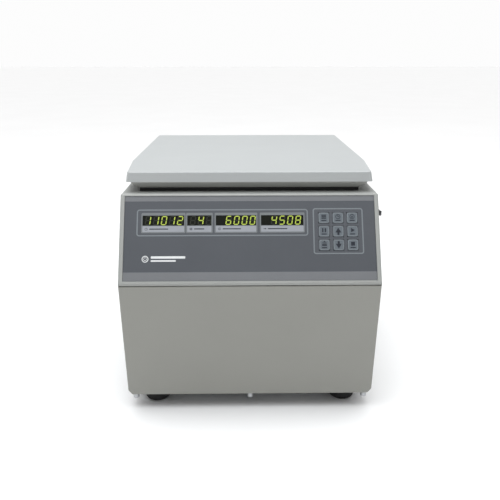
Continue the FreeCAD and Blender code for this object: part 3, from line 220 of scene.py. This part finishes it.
def mesh_piece(name, mesh_data, finish, body, matrix=None, smooth=None):
    """An object from (vertices, faces), placed by a matrix, riding on a body.

    Edges flatter than the angle smooth, in degrees, are shaded smooth.
    """
    data = bpy.data.meshes.new(name)
    vertices, faces = mesh_data
    if matrix is not None:
        vertices = [matrix @ Vector(v) for v in vertices]
    data.from_pydata([tuple(v) for v in vertices], [], faces)
    made = bpy.data.objects.new(name, data)
    scene.collection.objects.link(made)
    tidy = bmesh.new()
    tidy.from_mesh(data)
    bmesh.ops.recalc_face_normals(tidy, faces=tidy.faces)
    tidy.to_mesh(data)
    tidy.free()
    data.materials.append(finish)
    if smooth is not None:
        data.shade_smooth()
        data.set_sharp_from_angle(angle=math.radians(smooth))
    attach(made, body)
    return made


def joined(parts):
    """Several (vertices, faces) as one."""
    vertices, faces = [], []
    for more_vertices, more_faces in parts:
        start = len(vertices)
        vertices.extend(more_vertices)
        faces.extend([tuple(start + i for i in face) for face in more_faces])
    return vertices, faces


def rounded_rectangle(left, low, right, high, radius, steps=5):
    """Outline points of a rectangle with round corners, anticlockwise."""
    points = []
    for x, y, start in ((right - radius, high - radius, 0), (left + radius, high - radius, 90),
                        (left + radius, low + radius, 180), (right - radius, low + radius, 270)):
        for step in range(steps + 1):
            angle = math.radians(start + 90 * step / steps)
            points.append((x + radius * math.cos(angle), y + radius * math.sin(angle)))
    return points


def round_outline(x, y, radius, steps=32):
    """Outline points of a circle, anticlockwise."""
    angles = [2 * math.pi * n / steps for n in range(steps)]
    return [(x + radius * math.cos(angle), y + radius * math.sin(angle)) for angle in angles]


def ring_faces(rings, count):
    """Faces between neighbouring rings of count points each."""
    faces = []
    for ring in range(rings - 1):
        for n in range(count):
            m = (n + 1) % count
            faces.append((ring * count + n, ring * count + m,
                          (ring + 1) * count + m, (ring + 1) * count + n))
    return faces


def end_caps(rings, count):
    """The first ring's face and the last ring's."""
    last = (rings - 1) * count
    return [tuple(range(count))[::-1], tuple(range(last, last + count))]


def prism(outline, low, high):
    """A flat solid over an outline."""
    count = len(outline)
    vertices = [(x, y, low) for x, y in outline] + [(x, y, high) for x, y in outline]
    return vertices, end_caps(2, count) + ring_faces(2, count)


def band(outer, inner, low, high):
    """A flat solid between two outlines with the same number of points."""
    count = len(outer)
    rings = [(outer, low), (outer, high), (inner, high), (inner, low)]
    vertices = [(x, y, z) for ring, z in rings for x, y in ring]
    faces = []
    for ring in range(4):
        following = (ring + 1) % 4
        for n in range(count):
            m = (n + 1) % count
            faces.append((ring * count + n, ring * count + m,
                          following * count + m, following * count + n))
    return vertices, faces


def lathe(profile, segments=48):
    """A solid turned about the local z axis, from (radius, height) points."""
    vertices, faces, rings = [], [], []
    on_axis = 1e-7
    for radius, height in profile:
        if radius < on_axis:
            rings.append([len(vertices)] * segments)
            vertices.append((0, 0, height))
            continue
        rings.append(list(range(len(vertices), len(vertices) + segments)))
        vertices += [(x, y, height) for x, y in round_outline(0, 0, radius, segments)]
    for below, above in zip(rings, rings[1:]):
        for n in range(segments):
            m = (n + 1) % segments
            corners = (below[n], below[m], above[m], above[n])
            face = tuple(dict.fromkeys(corners))
            if len(face) > 2:
                faces.append(face)
    return vertices, faces


def moved(mesh_data, matrix):
    """The same (vertices, faces), placed by a matrix."""
    vertices, faces = mesh_data
    return [tuple(matrix @ Vector(v)) for v in vertices], faces


def islands(name, matrix=None):
    """Lowest and highest corner of each separate solid of a CAD node, in the frame of the matrix."""
    back = matrix.inverted() if matrix is not None else Matrix.Identity(4)
    shape = bmesh.new()
    shape.from_mesh(NODES[name].data)
    same_place = 1e-6
    bmesh.ops.remove_doubles(shape, verts=shape.verts, dist=same_place)
    found, seen = [], set()
    for start in shape.verts:
        if start in seen:
            continue
        seen.add(start)
        waiting, corners = [start], []
        while waiting:
            vertex = waiting.pop()
            corners.append(back @ vertex.co)
            for edge in vertex.link_edges:
                other = edge.other_vert(vertex)
                if other not in seen:
                    seen.add(other)
                    waiting.append(other)
        found.append((Vector(map(min, zip(*corners))), Vector(map(max, zip(*corners)))))
    shape.free()
    return sorted(found, key=lambda pair: tuple(round(c, 4) for c in pair[0]))


# ---- Control panel ----

def panel_matrix():
    """The control panel's frame, from the printed film's lower edge: x across, y up, z out of it."""
    out = -Vector(JOINT_OF["key_up_press"]["axis"]).normalized()
    across = Vector((1, 0, 0))
    up = out.cross(across)
    corners = [vertex.co for vertex in NODES["control_overlay"].data.vertices]
    matrix = Matrix((across, up, out)).transposed().to_4x4()
    matrix.translation = out * max(c.dot(out) for c in corners) + up * min(c.dot(up) for c in corners)
    return matrix


PANEL = panel_matrix()
PRINT = 0.08 * MM   # thickness of one printed layer


def panel_print(name, mesh_data, finish, body="cabinet"):
    """A print on the panel's film or on a key."""
    piece = mesh_piece(name, mesh_data, PRINTS[finish], body, PANEL)


def line_frame(left, low, right, high, radius, width, base, top):
    """A printed line around a rounded rectangle."""
    outer = rounded_rectangle(left, low, right, high, radius)
    inner = rounded_rectangle(left + width, low + width, right - width, high - width, radius - width)
    return band(outer, inner, base, top)


SEGMENTS = {"0": "abcdef", "1": "bc", "2": "abdeg", "3": "abcdg", "4": "bcfg", "5": "acdfg", "6": "acdefg",
            "7": "abc", "8": "abcdefg", "9": "abcdfg", " ": ""}


def digit_segments(right, middle, height, character):
    """The lit and the dark segments of one slanted digit whose right edge is given."""
    width, stroke, slant = height * 0.54, height * 0.125, math.tan(math.radians(8))
    half, gap = height / 2, stroke * 0.16
    ends = {
        "a": ((0, half), (width, half)),
        "b": ((width, half), (width, 0)),
        "c": ((width, 0), (width, -half)),
        "d": ((0, -half), (width, -half)),
        "e": ((0, 0), (0, -half)),
        "f": ((0, half), (0, 0)),
        "g": ((0, 0), (width, 0)),
    }
    lit, dark = [], []
    for letter, (start, end) in ends.items():
        a, b = Vector(start), Vector(end)
        along = (b - a).normalized()
        side = Vector((-along.y, along.x)) * stroke / 2
        a, b = a + along * gap, b - along * gap
        outline = [a, a + along * stroke / 2 + side, b - along * stroke / 2 + side, b,
                   b - along * stroke / 2 - side, a + along * stroke / 2 - side]
        points = [(right - width + p.x + p.y * slant, middle + p.y) for p in outline]
        (lit if letter in SEGMENTS[character] else dark).append(points)
    return lit, dark


def displays():
    """Printed frames and labels around the four windows, and the digits in them."""
    windows = islands("display_lenses", PANEL)
    low, high = windows[0][0].y, windows[0][1].y
    left, right = windows[0][0].x, windows[-1][1].x
    outline = line_frame(left - 9.5 * MM, low - 17.6 * MM, right + 7.5 * MM, high + 10.2 * MM,
                         4.5 * MM, 2 * MM, 0, PRINT)
    panel_print("display_outline", outline, "print_line")
    frames, labels, marks, lit, dark = [], [], [], [], []
    pitch, height = 12.9 * MM, 13.4 * MM
    beside, below, above, gap = 2 * MM, 12.4 * MM, 4.4 * MM, 0.1 * MM
    # Symbol, reading, and millimetres from the window's right edge to the last digit.
    contents = (("timer", "11012", 3), ("program", " 4 ", 0.5), ("speed", "6000", 2), ("force", "4508", 5))
    for (near, far), (symbol, text, margin) in zip(windows, contents):
        outer = rounded_rectangle(near.x - beside, near.y - below, far.x + beside, far.y + above, 1.8 * MM)
        inner = rounded_rectangle(near.x - gap, near.y - gap, far.x + gap, far.y + gap, 0.4 * MM)
        frames.append(band(outer, inner, 0, PRINT))
        label_low, label_high = near.y - 10.6 * MM, near.y - 1 * MM
        label = rounded_rectangle(near.x, label_low, far.x, label_high, 0.6 * MM)
        labels.append(prism(label, PRINT, 1.5 * PRINT))
        middle = (label_low + label_high) / 2
        marks.append(icon(symbol, near.x + 6 * MM, middle, 0.7 * MM, PRINT, 2 * PRINT))
        bar = rounded_rectangle(near.x + 11 * MM, middle - 0.8 * MM,
                                (near.x + far.x) / 2 + 8 * MM, middle + 0.8 * MM, 0.7 * MM)
        marks.append(prism(bar, PRINT, 2 * PRINT))
        face = far.z + 0.02 * MM
        for place, character in enumerate(reversed(text)):
            edge = far.x - margin * MM - place * pitch
            on, off = digit_segments(edge, (near.y + far.y) / 2, height, character)
            lit += [prism(points, face, face + PRINT) for points in on]
            dark += [prism(points, face, face + PRINT / 2) for points in off]
    panel_print("display_frames", joined(frames), "print_frame")
    panel_print("display_labels", joined(labels), "print_label")
    panel_print("display_symbols", joined(marks), "print_dark")
    panel_print("digits_lit", joined(lit), "segment_lit")
    panel_print("digits_dark", joined(dark), "segment_off")
    return windows


def printed_fields(windows):
    """The lighter strips along the film's upper and lower edges, and a small plain mark."""
    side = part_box("control_overlay")[1].x
    top = max((PANEL.inverted() @ v.co).y for v in NODES["control_overlay"].data.vertices)
    strips = [prism(rounded_rectangle(-side, 0, side, 14.2 * MM, 0.3 * MM), 0, PRINT),
              prism(rounded_rectangle(-side, top - 8.6 * MM, side, top, 0.3 * MM), 0, PRINT)]
    panel_print("film_strips", joined(strips), "print_strip")
    x, y = windows[0][0].x + 5.5 * MM, 35.5 * MM
    mark = [band(round_outline(x, y, 5.4 * MM), round_outline(x, y, 4.1 * MM), 0, PRINT)]
    for centre_x, centre_y in round_outline(x, y, 2.4 * MM, 6):
        mark.append(prism(round_outline(centre_x, centre_y, 0.8 * MM, 12), 0, PRINT))
    start = x + 9 * MM
    for low, high, length in ((0.8, 4.6, 55), (-4.2, -1.6, 40)):
        bar = rounded_rectangle(start, y + low * MM, start + length * MM, y + high * MM, 1.2 * MM)
        mark.append(prism(bar, 0, PRINT))
    panel_print("plain_mark", joined(mark), "print_white")


def arrow(x, y, size, up=1):
    """A triangle that points up, or down where up is -1."""
    foot, tip = y - up * size * 0.75, y + up * size * 0.9
    return [(x - size, foot), (x + size, foot), (x, tip)][::up]


def icon(name, x, y, size, base, top):
    """A plain symbol, drawn for a size of 1 mm and scaled."""

    def shape(*corners):
        return prism([(x + across * size, y + up * size) for across, up in corners], base, top)

    def bar(left, low, right, high):
        return shape((left, low), (right, low), (right, high), (left, high))

    def ring(outer, inner):
        return band(round_outline(x, y, outer * size), round_outline(x, y, inner * size), base, top)

    def point(across, up, reach, way=1):
        return prism(arrow(x + across * size, y + up * size, reach * size, way), base, top)

    symbols = {
        "program": [bar(-3, 1.4, 3, 2.6), bar(-3, -0.6, 3, 0.6), bar(-3, -2.6, 3, -1.4)],
        "timer": [ring(3.2, 2.5), bar(-0.35, -0.3, 0.35, 2.2), bar(0.35, -0.3, 1.8, 0.4)],
        "speed": [ring(3.2, 2.5), point(0, 0, 1.5)],
        "force": [bar(-3, -0.6, 1, 0.6), shape((1, -2), (3.4, 0), (1, 2))],
        "brake": [bar(-2.6, -2.6, -0.8, 2.6), bar(0.8, -2.6, 2.6, 2.6)],
        "up": [point(0, 1.2, 3.2), bar(-1.1, -4.2, 1.1, -1.3)],
        "start": [shape((-2, -2.8), (3, 0), (-2, 2.8))],
        "lid": [bar(-3, -2.6, 3, -0.6), bar(-3, 0.6, 3, 1.4), point(0, 3.2, 1.3)],
        "down": [point(0, -1.2, 3.2, -1), bar(-1.1, 1.3, 1.1, 4.2)],
        "stop": [bar(-2.5, -2.5, 2.5, 2.5)],
    }
    return joined(symbols[name])


def cushion_cap(near, far, radius, edge):
    """A key cap with round corners, a soft upper edge and a slightly sunken top."""
    rings = []
    for inset, z in ((0, near.z), (0, far.z - edge), (edge * 0.3, far.z - edge * 0.3), (edge, far.z)):
        outline = rounded_rectangle(near.x + inset, near.y + inset, far.x - inset, far.y - inset,
                                    radius - inset)
        rings.append((outline, z))
    rim = rings[-1][0]
    middle = Vector(((near.x + far.x) / 2, (near.y + far.y) / 2))
    for shrink, drop in ((0.75, 0.12 * MM), (0.35, 0.22 * MM)):
        outline = [tuple(middle + (Vector(p) - middle) * shrink) for p in rim]
        rings.append((outline, far.z - drop))
    vertices = [(x, y, z) for outline, z in rings for x, y in outline]
    return vertices, ring_faces(len(rings), len(rim)) + end_caps(len(rings), len(rim))


def key_symbol(name, x, y, base, top):
    """A large arrow, or a smaller symbol over a short bar."""
    if name in ("key_up", "key_down"):
        return icon(name.removeprefix("key_"), x, y, 1.45 * MM, base, top)
    half, low, high = 4.2 * MM, y - 5.2 * MM, y - 3.6 * MM
    bar = prism(rounded_rectangle(x - half, low, x + half, high, 0.6 * MM), base, top)
    return joined([icon(name.removeprefix("key_"), x, y + 1.9 * MM, 1.25 * MM, base, top), bar])


def keypad():
    """The printed frame around the keys, and each key with its outline and symbol."""
    boxes = {name: islands(name, PANEL)[0] for name in NODES
             if name.startswith("key_") and name != "key_switches"}
    lip = 1 * MM
    left = min(near.x for near, _ in boxes.values()) + lip
    right = max(far.x for _, far in boxes.values()) - lip
    low = min(near.y for near, _ in boxes.values()) + lip
    high = max(far.y for _, far in boxes.values()) - lip
    outline = line_frame(left - 9 * MM, low - 6 * MM, right + 9 * MM, high + 7.5 * MM,
                         4 * MM, 2 * MM, 0, PRINT)
    panel_print("key_outline", outline, "print_line")
    for name, (near, far) in boxes.items():
        near, far = near + Vector((lip, lip, 0)), far - Vector((lip, lip, 0))
        body = BODY_OF[name]
        cap = mesh_piece(name + "_cap", cushion_cap(near, far, 2.6 * MM, 0.5 * MM),
                         FINISHES["key_film"], body, PANEL, 40)
        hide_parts(name)
        top = far.z + 0.01 * MM
        inset = 0.7 * MM
        rim = line_frame(near.x + inset, near.y + inset, far.x - inset, far.y - inset,
                         2.2 * MM, 1.1 * MM, top - 0.2 * MM, top + PRINT / 2)
        panel_print(name + "_rim", rim, "print_line", body)
        x, y = (near.x + far.x) / 2, (near.y + far.y) / 2
        panel_print(name + "_symbol", key_symbol(name, x, y, top - 0.25 * MM, top), "print_dark", body)


printed_fields(displays())
keypad()


# ---- Feet and screws ----

def rubber_feet():
    """Feet with two fine grooves, a rounded lower edge and a recess for the screw."""
    parts = []
    shank, recess, sole, groove = 2.6 * MM, 6 * MM, 15.2 * MM, 0.5 * MM
    bend_steps, bend_power = 8, 1.6
    for near, far in islands("rubber_feet"):
        radius = (far.x - near.x) / 2
        height = far.z - near.z
        profile = [(shank, height), (radius - groove, height), (radius, height - groove)]
        for level in (height - 4 * MM, height - 8 * MM):
            profile += [(radius, level), (radius - groove, level - groove),
                        (radius - groove, level - 2 * groove), (radius, level - 3 * groove)]
        bend = height / 2
        for step in range(bend_steps + 1):
            angle = math.radians(90 * step / bend_steps)
            rise = bend * (1 - math.sin(angle)) ** bend_power
            profile.append((sole + (radius - sole) * math.cos(angle), rise))
        profile += [(recess + groove, 0), (recess, groove), (recess, height / 2),
                    (shank, height / 2), (shank, height)]
        centre = Vector(((near.x + far.x) / 2, (near.y + far.y) / 2, near.z))
        parts.append(moved(lathe(profile, 56), Matrix.Translation(centre)))
    feet = mesh_piece("rubber_feet_turned", joined(parts), FINISHES["black_rubber"], "cabinet", smooth=35)
    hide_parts("rubber_feet")


def socket_screw(radius, head, shank, length, flats):
    """A screw along z: a chamfered head with a hex socket in its face at z = 0, and a plain shank."""
    count = 24
    chamfer = min(radius, head) * 0.15
    hexagon = []
    for n in range(count):
        angle = 2 * math.pi * n / count
        within = (angle + math.pi / 6) % (math.pi / 3) - math.pi / 6
        hexagon.append((flats / 2 / math.cos(within), angle))
    circle = [(1.0, 2 * math.pi * n / count) for n in range(count)]
    levels = [(hexagon, 1, head * 0.6), (hexagon, 1, 0), (circle, radius - chamfer, 0),
              (circle, radius, chamfer), (circle, radius, head), (circle, shank, head),
              (circle, shank, head + length)]
    vertices = []
    for ring, size, z in levels:
        vertices += [(r * size * math.cos(a), r * size * math.sin(a), z) for r, a in ring]
    return vertices, ring_faces(len(levels), count) + end_caps(len(levels), count)


def screws(name, axis, head_radius, head_length, shank, flats):
    """Socket screws in place of one node's plain ones; axis points from the head's face along the shank."""
    direction = Vector(axis)
    turn = direction.to_track_quat("Z", "Y").to_matrix().to_4x4()
    parts = []
    for near, far in islands(name):
        middle = (near + far) / 2
        reach = (far - near).dot(Vector(map(abs, axis)))
        start = middle - direction * reach / 2
        parts.append(moved(socket_screw(head_radius, head_length, shank, reach - head_length, flats),
                           Matrix.Translation(start) @ turn))
    made = mesh_piece(name + "_socket", joined(parts), FINISHES["zinc_steel"], BODY_OF[name], smooth=30)
    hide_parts(name)


rubber_feet()
screws("foot_screws", (0, 0, 1), 5 * MM, 3 * MM, 2.3 * MM, 5 * MM)
screws("front_cover_screws", (0, 0, 1), 5 * MM, 8.5 * MM, 2.3 * MM, 5 * MM)
screws("rear_panel_screws", (0, -1, 0), 3.5 * MM, 1.6 * MM, 1.5 * MM, 3 * MM)
screws("lid_screws", (0, 0, 1), 3 * MM, 2 * MM, 1.5 * MM, 2.5 * MM)


# ---- Rotor nut, hinge springs, fan and switch ----

def rotor_nut():
    """A turned knob with a scalloped grip and a dished top."""
    low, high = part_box("rotor_nut")
    radius, height = (high.x - low.x) / 2, high.z - low.z
    bore, count, scallops, scallop_depth = 5.4 * MM, 96, 12, 0.9
    # Radius, height, and share of the scallops' full depth.
    rings = [(bore, 0, 0), (radius - 3 * MM, 0, 0), (radius, 4 * MM, 0.4), (radius, 5 * MM, 1),
             (radius, height - 5 * MM, 1), (radius - 0.4 * MM, height - 3.4 * MM, 0.4),
             (radius - 3.2 * MM, height, 0), (radius * 0.45, height, 0), (radius * 0.4, height - 1.2 * MM, 0),
             (0.4 * MM, height - 1.6 * MM, 0)]
    vertices = []
    for ring_radius, z, depth in rings:
        for n in range(count):
            angle = 2 * math.pi * n / count
            dent = depth * scallop_depth * MM * (0.5 - 0.5 * math.cos(scallops * angle)) ** 2
            reach = ring_radius - dent
            vertices.append((reach * math.cos(angle), reach * math.sin(angle), z))
    faces = ring_faces(len(rings), count) + end_caps(len(rings), count)
    centre = Vector(((low.x + high.x) / 2, (low.y + high.y) / 2, low.z))
    nut = mesh_piece("rotor_nut_grip", (vertices, faces), FINISHES["rotor_alloy"], "rotor",
                     Matrix.Translation(centre), 30)
    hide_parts("rotor_nut")


def swept_wire(path, radius, sides=8):
    """A round wire along a path of points."""
    vertices = []
    up = Vector((0, 0.3, 1)).normalized()
    for n, point in enumerate(path):
        ahead = (path[min(n + 1, len(path) - 1)] - path[max(n - 1, 0)]).normalized()
        across = ahead.cross(up).normalized()
        up = across.cross(ahead)
        for k in range(sides):
            angle = 2 * math.pi * k / sides
            aside = point + across * radius * math.cos(angle)
            vertices.append(tuple(aside + up * radius * math.sin(angle)))
    return vertices, ring_faces(len(path), sides) + end_caps(len(path), sides)


def torsion_springs():
    """Coiled springs of round wire around the hinge rod."""
    wire, turns, steps = 0.95 * MM, 12, 24
    parts = []
    for near, far in islands("torsion_springs"):
        middle = (near + far) / 2
        radius = (far.y - near.y) / 2 - wire
        length = far.x - near.x - 2 * wire
        path = []
        for n in range(turns * steps + 1):
            angle = 2 * math.pi * n / steps
            path.append(Vector((near.x + wire + length * n / (turns * steps),
                                middle.y + radius * math.cos(angle),
                                middle.z + radius * math.sin(angle))))
        parts.append(swept_wire(path, wire))
    springs = mesh_piece("torsion_spring_coils", joined(parts), FINISHES["zinc_steel"], "cabinet", smooth=60)
    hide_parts("torsion_springs")


def fan_blade(root, tip, low, high, count=9):
    """A twisted blade with a curved section, about the local z axis."""
    thick, root_twist, added_twist, pitch, bow = 1.1 * MM, 0.42, 0.25, 1.5, 0.12
    edge_share, middle_share = 0.04, 0.92
    vertices, faces = [], []
    for side in (1, -1):
        for span in range(count):
            along = span / (count - 1)
            reach = root + (tip - root) * along
            twist = root_twist + added_twist * along
            for chord in range(count):
                way = chord / (count - 1)
                z = low + (high - low) * way
                angle = twist * (way - 0.5) * pitch + bow * math.sin(math.pi * way)
                fullness = math.sin(math.pi * (edge_share + middle_share * way))
                lift = side * thick / 2 * fullness / reach
                vertices.append((reach * math.cos(angle + lift), reach * math.sin(angle + lift), z))
    size = count * count
    for a in range(count - 1):
        for b in range(count - 1):
            corner = a * count + b
            faces.append((corner, corner + 1, corner + count + 1, corner + count))
            faces.append((size + corner, size + corner + count, size + corner + count + 1, size + corner + 1))
    last = count - 1
    border = list(range(count))
    border += [count * row + last for row in range(1, count)]
    border += [count * last + n for n in range(last - 1, -1, -1)]
    border += [count * row for row in range(last - 1, 0, -1)]
    for a, b in zip(border, border[1:] + border[:1]):
        faces.append((a, size + a, size + b, b))
    return vertices, faces


def fan_impeller():
    """A moulded hub with a rounded nose and seven curved blades."""
    low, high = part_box("fan_impeller")
    hub, tip, blades = 18 * MM, 41.2 * MM, 7
    depth = high.y - low.y
    profile = [(0, 0), (hub - 1 * MM, 0), (hub, 1 * MM), (hub, depth - 3 * MM),
               (hub - 0.9 * MM, depth - 0.9 * MM), (hub - 3 * MM, depth), (0, depth)]
    parts = [lathe(profile, 64)]
    for n in range(blades):
        blade = fan_blade(hub - 0.6 * MM, tip, 1.5 * MM, depth - 2 * MM)
        parts.append(moved(blade, Matrix.Rotation(2 * math.pi * n / blades, 4, "Z")))
    axis_height = JOINT_OF["fan_spin"]["pos_m"][2]
    place = Matrix.Translation(((low.x + high.x) / 2, low.y, axis_height))
    stand = place @ Matrix.Rotation(-math.pi / 2, 4, "X")
    fan = mesh_piece("fan_impeller_moulded", joined(parts), FINISHES["black_plastic"], "impeller", stand, 40)
    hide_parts("fan_impeller")


def power_switch():
    """Raised marks on the rocker's two slopes: a bar for on and a ring for off."""
    low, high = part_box("power_switch_rocker")
    middle = (low + high) / 2
    corners = {(round(v.co.y, 5), round(v.co.x, 5)) for v in NODES["power_switch_rocker"].data.vertices
               if v.co.x > middle.x}
    ridge = [Vector((x, y, middle.z)) for y, x in sorted(corners)]
    up = Vector((0, 0, 1))
    bar = prism(rounded_rectangle(-0.5 * MM, -2.4 * MM, 0.5 * MM, 2.4 * MM, 0.3 * MM), -PRINT, PRINT)
    ring = band(round_outline(0, 0, 2.3 * MM), round_outline(0, 0, 1.5 * MM), -PRINT, PRINT)
    for name, mark, start, end in (("switch_on_mark", bar, ridge[0], ridge[1]),
                                   ("switch_off_mark", ring, ridge[1], ridge[2])):
        along = (end - start).normalized()
        slope = Matrix((along, up, along.cross(up))).transposed().to_4x4()
        slope.translation = (start + end) / 2
        mesh_piece(name, mark, PRINTS["print_white"], "rocker", slope)


rotor_nut()
torsion_springs()
fan_impeller()
power_switch()


# ---- Stage, light and camera ----

def stage():
    """A plain pale floor."""
    bpy.ops.mesh.primitive_plane_add(size=60, location=(0, 0, 0))
    floor = bpy.context.object
    floor.name = "floor"
    paper = finish_material("floor_paper", (238, 238, 238), 0.9, mottle=0.01, patch=2.0,
                            grain=200.0, bump=0.05)
    dress(floor, paper)


def world_light():
    """Soft studio light: a white backdrop behind, dim walls in front and a bright ceiling."""
    world = bpy.data.worlds.new("studio")
    scene.world = world
    world.use_nodes = True
    tree = world.node_tree
    background = tree.nodes["Background"]
    place = tree.nodes.new("ShaderNodeTexCoord")
    split = tree.nodes.new("ShaderNodeSeparateXYZ")
    tree.links.new(place.outputs["Generated"], split.inputs["Vector"])

    def levels(source, low, *steps):
        """A brightness that follows one axis of the direction."""
        spread = tree.nodes.new("ShaderNodeMapRange")
        spread.inputs["From Min"].default_value = low
        tree.links.new(split.outputs[source], spread.inputs["Value"])
        ramp = tree.nodes.new("ShaderNodeValToRGB")
        elements = ramp.color_ramp.elements
        while len(elements) < len(steps):
            elements.new(0.5)
        for element, (position, level) in zip(elements, steps):
            element.position = position
            element.color = (level, level, level, 1.0)
        tree.links.new(spread.outputs["Result"], ramp.inputs["Fac"])
        return ramp.outputs["Color"]

    mixed = tree.nodes.new("ShaderNodeVectorMath")
    mixed.operation = "MULTIPLY"
    by_height = levels("Z", 0.0, (0.0, 1.0), (0.12, 1.0), (0.2, 0.34), (0.5, 0.4), (0.85, 2.3))
    by_depth = levels("Y", -1.0, (0.0, 0.45), (0.35, 0.6), (0.6, 1.0))
    tree.links.new(by_height, mixed.inputs[0])
    tree.links.new(by_depth, mixed.inputs[1])
    tree.links.new(mixed.outputs["Vector"], background.inputs["Color"])
    background.inputs["Strength"].default_value = 0.98


def area_light(name, place, aim, size, power, tint):
    """A square light at a place, aimed at a point."""
    data = bpy.data.lights.new(name, "AREA")
    data.shape = "SQUARE"
    data.size = size
    data.energy = power
    data.color = tint
    light = bpy.data.objects.new(name, data)
    light.location = place
    light.rotation_euler = (Vector(aim) - Vector(place)).to_track_quat("-Z", "Y").to_euler()
    scene.collection.objects.link(light)


def camera():
    """The view: from a little above, almost straight on."""
    data = bpy.data.cameras.new("camera")
    data.sensor_width = 36
    data.lens = 41.18
    data.clip_end = 200
    made = bpy.data.objects.new("camera", data)
    made.location = (-0.0129, -1.1152, 0.585)
    down, aside = math.radians(18.83), math.radians(0.84)
    ahead = Vector((math.sin(aside) * math.cos(down), math.cos(aside) * math.cos(down), -math.sin(down)))
    made.rotation_euler = ahead.to_track_quat("-Z", "Y").to_euler()
    scene.collection.objects.link(made)
    scene.camera = made


stage()
world_light()
area_light("overhead", (-0.2, -0.5, 2.4), (0, 0, 0.3), 2.0, 38, (0.94, 0.97, 1.0))
camera()
scene.view_settings.view_transform = "Standard"
